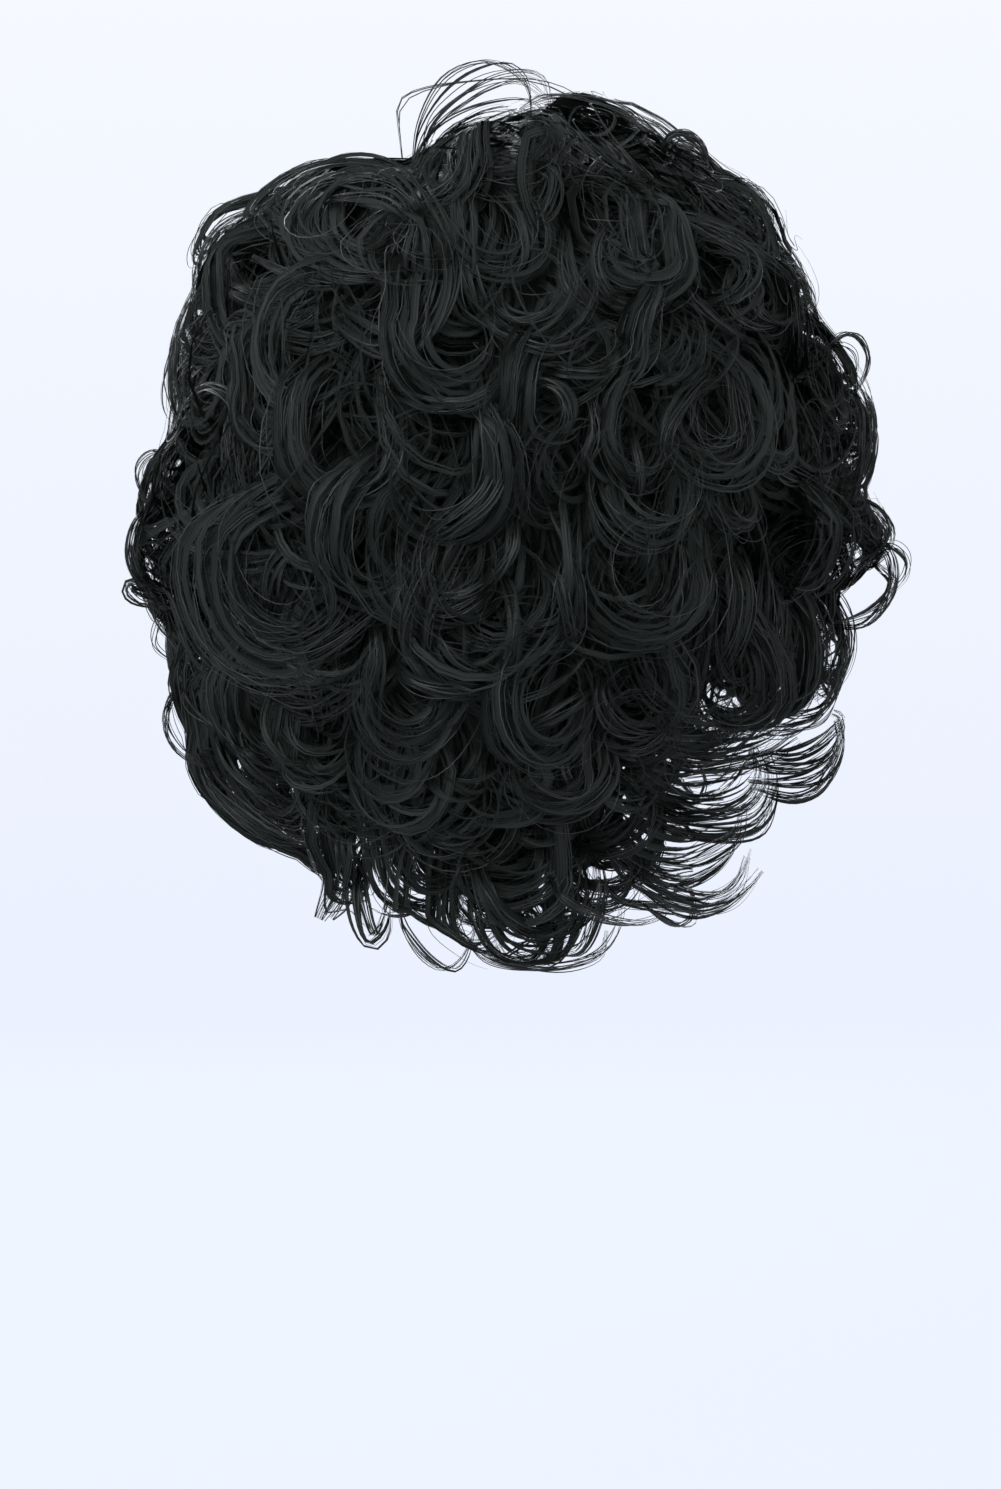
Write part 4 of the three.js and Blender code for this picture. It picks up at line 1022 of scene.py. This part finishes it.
for face in underHair.data.polygons:
    x, y, z = face.center
    turn, fall = math.degrees(math.atan2(abs(x), y)), math.degrees(math.atan2(math.hypot(x, y), z + 0.11))
    isFront = turn > bed["frontTurn"] and fall > bed["frontFall"]
    isBelow = fall > np.interp(turn, bed["edgeTurns"], bed["edgeFalls"])
    halfWide, halfDeep, top = bed["hollow"]
    isHollow = math.hypot(x / halfWide, y / halfDeep) < 1 and z < top
    face.select = isFront or bool(isBelow) or isHollow
bpy.ops.object.mode_set(mode="EDIT")
bpy.ops.mesh.select_mode(type="FACE")
bpy.ops.mesh.delete(type="FACE")
# its rim follows the faces in steps, and is smoothed
bpy.ops.mesh.select_mode(type="VERT")
bpy.ops.mesh.select_all(action="DESELECT")
bpy.ops.mesh.select_non_manifold()
bpy.ops.mesh.vertices_smooth(factor=0.5, repeat=8)
bpy.ops.object.mode_set(mode="OBJECT")
wall = underHair.modifiers.new("wall", "SOLIDIFY")
wall.thickness = bed["wall"]
wall.offset = -1
bpy.ops.object.modifier_apply(modifier="wall")
bpy.ops.object.shade_smooth()
underHair.data.materials.append(bedMaterial("hairBedPaintedLight"))
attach(underHair, "root")
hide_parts(*[row["node"] for row in rows])
print("packed hair made")

# The cap's net and the elastic band keep their own shape, and share a weave
clothWeave, given, made = newGroup("clothWeave", (("Scale", "Float"), ("Thread", "Color"), ("Gap", "Color")),
                                   (("Color", "Color"), ("Height", "Float")))
weave = clothWeave.nodes.new("ShaderNodeTexVoronoi")
weave.feature = "DISTANCE_TO_EDGE"
clothWeave.links.new(clothWeave.nodes.new("ShaderNodeTexCoord").outputs["Object"], weave.inputs["Vector"])
clothWeave.links.new(given["Scale"], weave.inputs["Scale"])
colour = blendIn(clothWeave, weave.outputs["Distance"], 0, 0.25, given["Thread"], given["Gap"])
clothWeave.links.new(colour, made["Color"])
clothWeave.links.new(weave.outputs["Distance"], made["Height"])


def clothMaterial(name, colour, scale, roughness):
    material, tree, shader = newMaterial(name)
    shader.inputs["Roughness"].default_value = roughness
    cloth = placeGroup(tree, clothWeave, {"Scale": scale, "Thread": colour + (1,),
                                          "Gap": tuple(c * 0.4 for c in colour) + (1,)})
    tree.links.new(cloth["Color"], shader.inputs["Base Color"])
    bumpIn(tree, shader, cloth["Height"], 0.0006).invert = True
    return material


for node, material in (("cap", clothMaterial("capNet", (0.02, 0.02, 0.022), 420, 0.85)),
                       ("rim_band", clothMaterial("bandElastic", (0.03, 0.03, 0.033), 700, 0.7))):
    capPart = bpy.data.objects[node]
    capPart.data.materials.clear()
    capPart.data.materials.append(material)

# The studio: a round cove, pale all over, with its floor well below the hair
studio = {"floor": -0.485, "radius": 3.4, "height": 4.2, "curve": 1.2, "steps": 10}
bpy.ops.mesh.primitive_circle_add(vertices=96, radius=studio["radius"] - studio["curve"], fill_type="NGON",
                                  location=(0, 0, studio["floor"]))
cove = bpy.context.active_object
cove.name = "studio_cove"
bpy.ops.object.mode_set(mode="EDIT")
bpy.ops.mesh.select_all(action="SELECT")
flat, steps = studio["radius"] - studio["curve"], studio["steps"]
for i in range(steps):
    angle, nextAngle = math.pi / 2 * i / steps, math.pi / 2 * (i + 1) / steps
    inner, outer = (flat + studio["curve"] * math.sin(a) for a in (angle, nextAngle))
    rise = studio["curve"] * (math.cos(angle) - math.cos(nextAngle))
    if i == 0:
        bpy.ops.mesh.select_mode(type="EDGE")
        bpy.ops.mesh.region_to_loop()
    bpy.ops.mesh.extrude_edges_move(TRANSFORM_OT_translate={"value": (0, 0, rise)})
    bpy.ops.transform.resize(value=(outer / inner, outer / inner, 1))
bpy.ops.mesh.extrude_edges_move(TRANSFORM_OT_translate={"value": (0, 0, studio["height"] - studio["curve"])})
bpy.ops.object.mode_set(mode="OBJECT")
bpy.ops.object.shade_smooth()
paleMaterial, paleTree, paleShader = newMaterial("paleCove")
paleShader.inputs["Base Color"].default_value = (0.03, 0.03, 0.03, 1)
paleShader.inputs["Roughness"].default_value = 0.95
paleShader.inputs["Specular IOR Level"].default_value = 0.05
paleHeight = paleTree.nodes.new("ShaderNodeSeparateXYZ")
paleTree.links.new(paleTree.nodes.new("ShaderNodeTexCoord").outputs["Object"], paleHeight.inputs["Vector"])
paleTone = blendIn(paleTree, paleHeight.outputs["Z"], 0, 1, (0.82, 0.87, 0.985), (0.915, 0.938, 1.0))
paleTree.links.new(paleTone, paleShader.inputs["Emission Color"])
# it glows less on the hair than it shows
palePath = paleTree.nodes.new("ShaderNodeLightPath")
paleGlow = paleTree.nodes.new("ShaderNodeMapRange")
paleGlow.inputs["To Min"].default_value = 0.5
paleGlow.inputs["To Max"].default_value = 0.985
paleTree.links.new(palePath.outputs["Is Camera Ray"], paleGlow.inputs["Value"])
paleTree.links.new(paleGlow.outputs["Result"], paleShader.inputs["Emission Strength"])
cove.data.materials.append(paleMaterial)

world = bpy.data.worlds.new("studioWorld")
bpy.context.scene.world = world
world.use_nodes = True
background = world.node_tree.nodes["Background"]
background.inputs["Color"].default_value = (0.88, 0.94, 1.0, 1)
background.inputs["Strength"].default_value = 0.5


def softbox(name, place, target, size, power):
    bpy.ops.object.light_add(type="AREA", location=place)
    lamp = bpy.context.active_object
    lamp.name = name
    lamp.data.shape = "RECTANGLE"
    lamp.data.size, lamp.data.size_y = size
    lamp.data.energy = power
    lamp.data.color = (0.88, 0.95, 1.0)
    way = np.array(target) - np.array(place)
    tip = math.pi - math.acos(way[2] / np.linalg.norm(way))
    lamp.rotation_euler = (tip, 0, math.atan2(way[1], way[0]) - math.pi / 2)


softbox("keyBox", (1.0, 1.55, 0.9), (0, 0, -0.12), (1.5, 0.9), 19)
softbox("highBox", (0.8, 0.9, 1.1), (0.04, 0.05, -0.14), (1.1, 0.5), 5.5)
softbox("fillBox", (-1.5, 1.5, -0.1), (0, 0, -0.2), (0.9, 1.2), 13)
softbox("sideBox", (1.7, 0.9, -0.1), (0, 0, -0.14), (0.8, 1.3), 10)
softbox("topBox", (0.0, -0.1, 1.6), (0, 0, -0.1), (1.2, 1.0), 4)
softbox("frontBox", (0.3, -1.8, 0.7), (0, 0, -0.12), (1.3, 1.1), 22)

bpy.ops.object.camera_add()
camera = bpy.context.active_object
camera.name = "photoCamera"
lift = math.radians(view["elevation"])
camera.location = (view["aim"][0], view["aim"][1] + view["distance"] * math.cos(lift),
                   view["aim"][2] + view["distance"] * math.sin(lift))
camera.rotation_euler = (math.pi / 2 - lift, 0, math.pi)
camera.data.sensor_width = 36
camera.data.lens = 36 * view["distance"] / view["seen"]
camera.data.clip_end = 50
bpy.context.scene.camera = camera
bpy.context.scene.view_settings.view_transform = "Standard"
print("studio and camera ready")
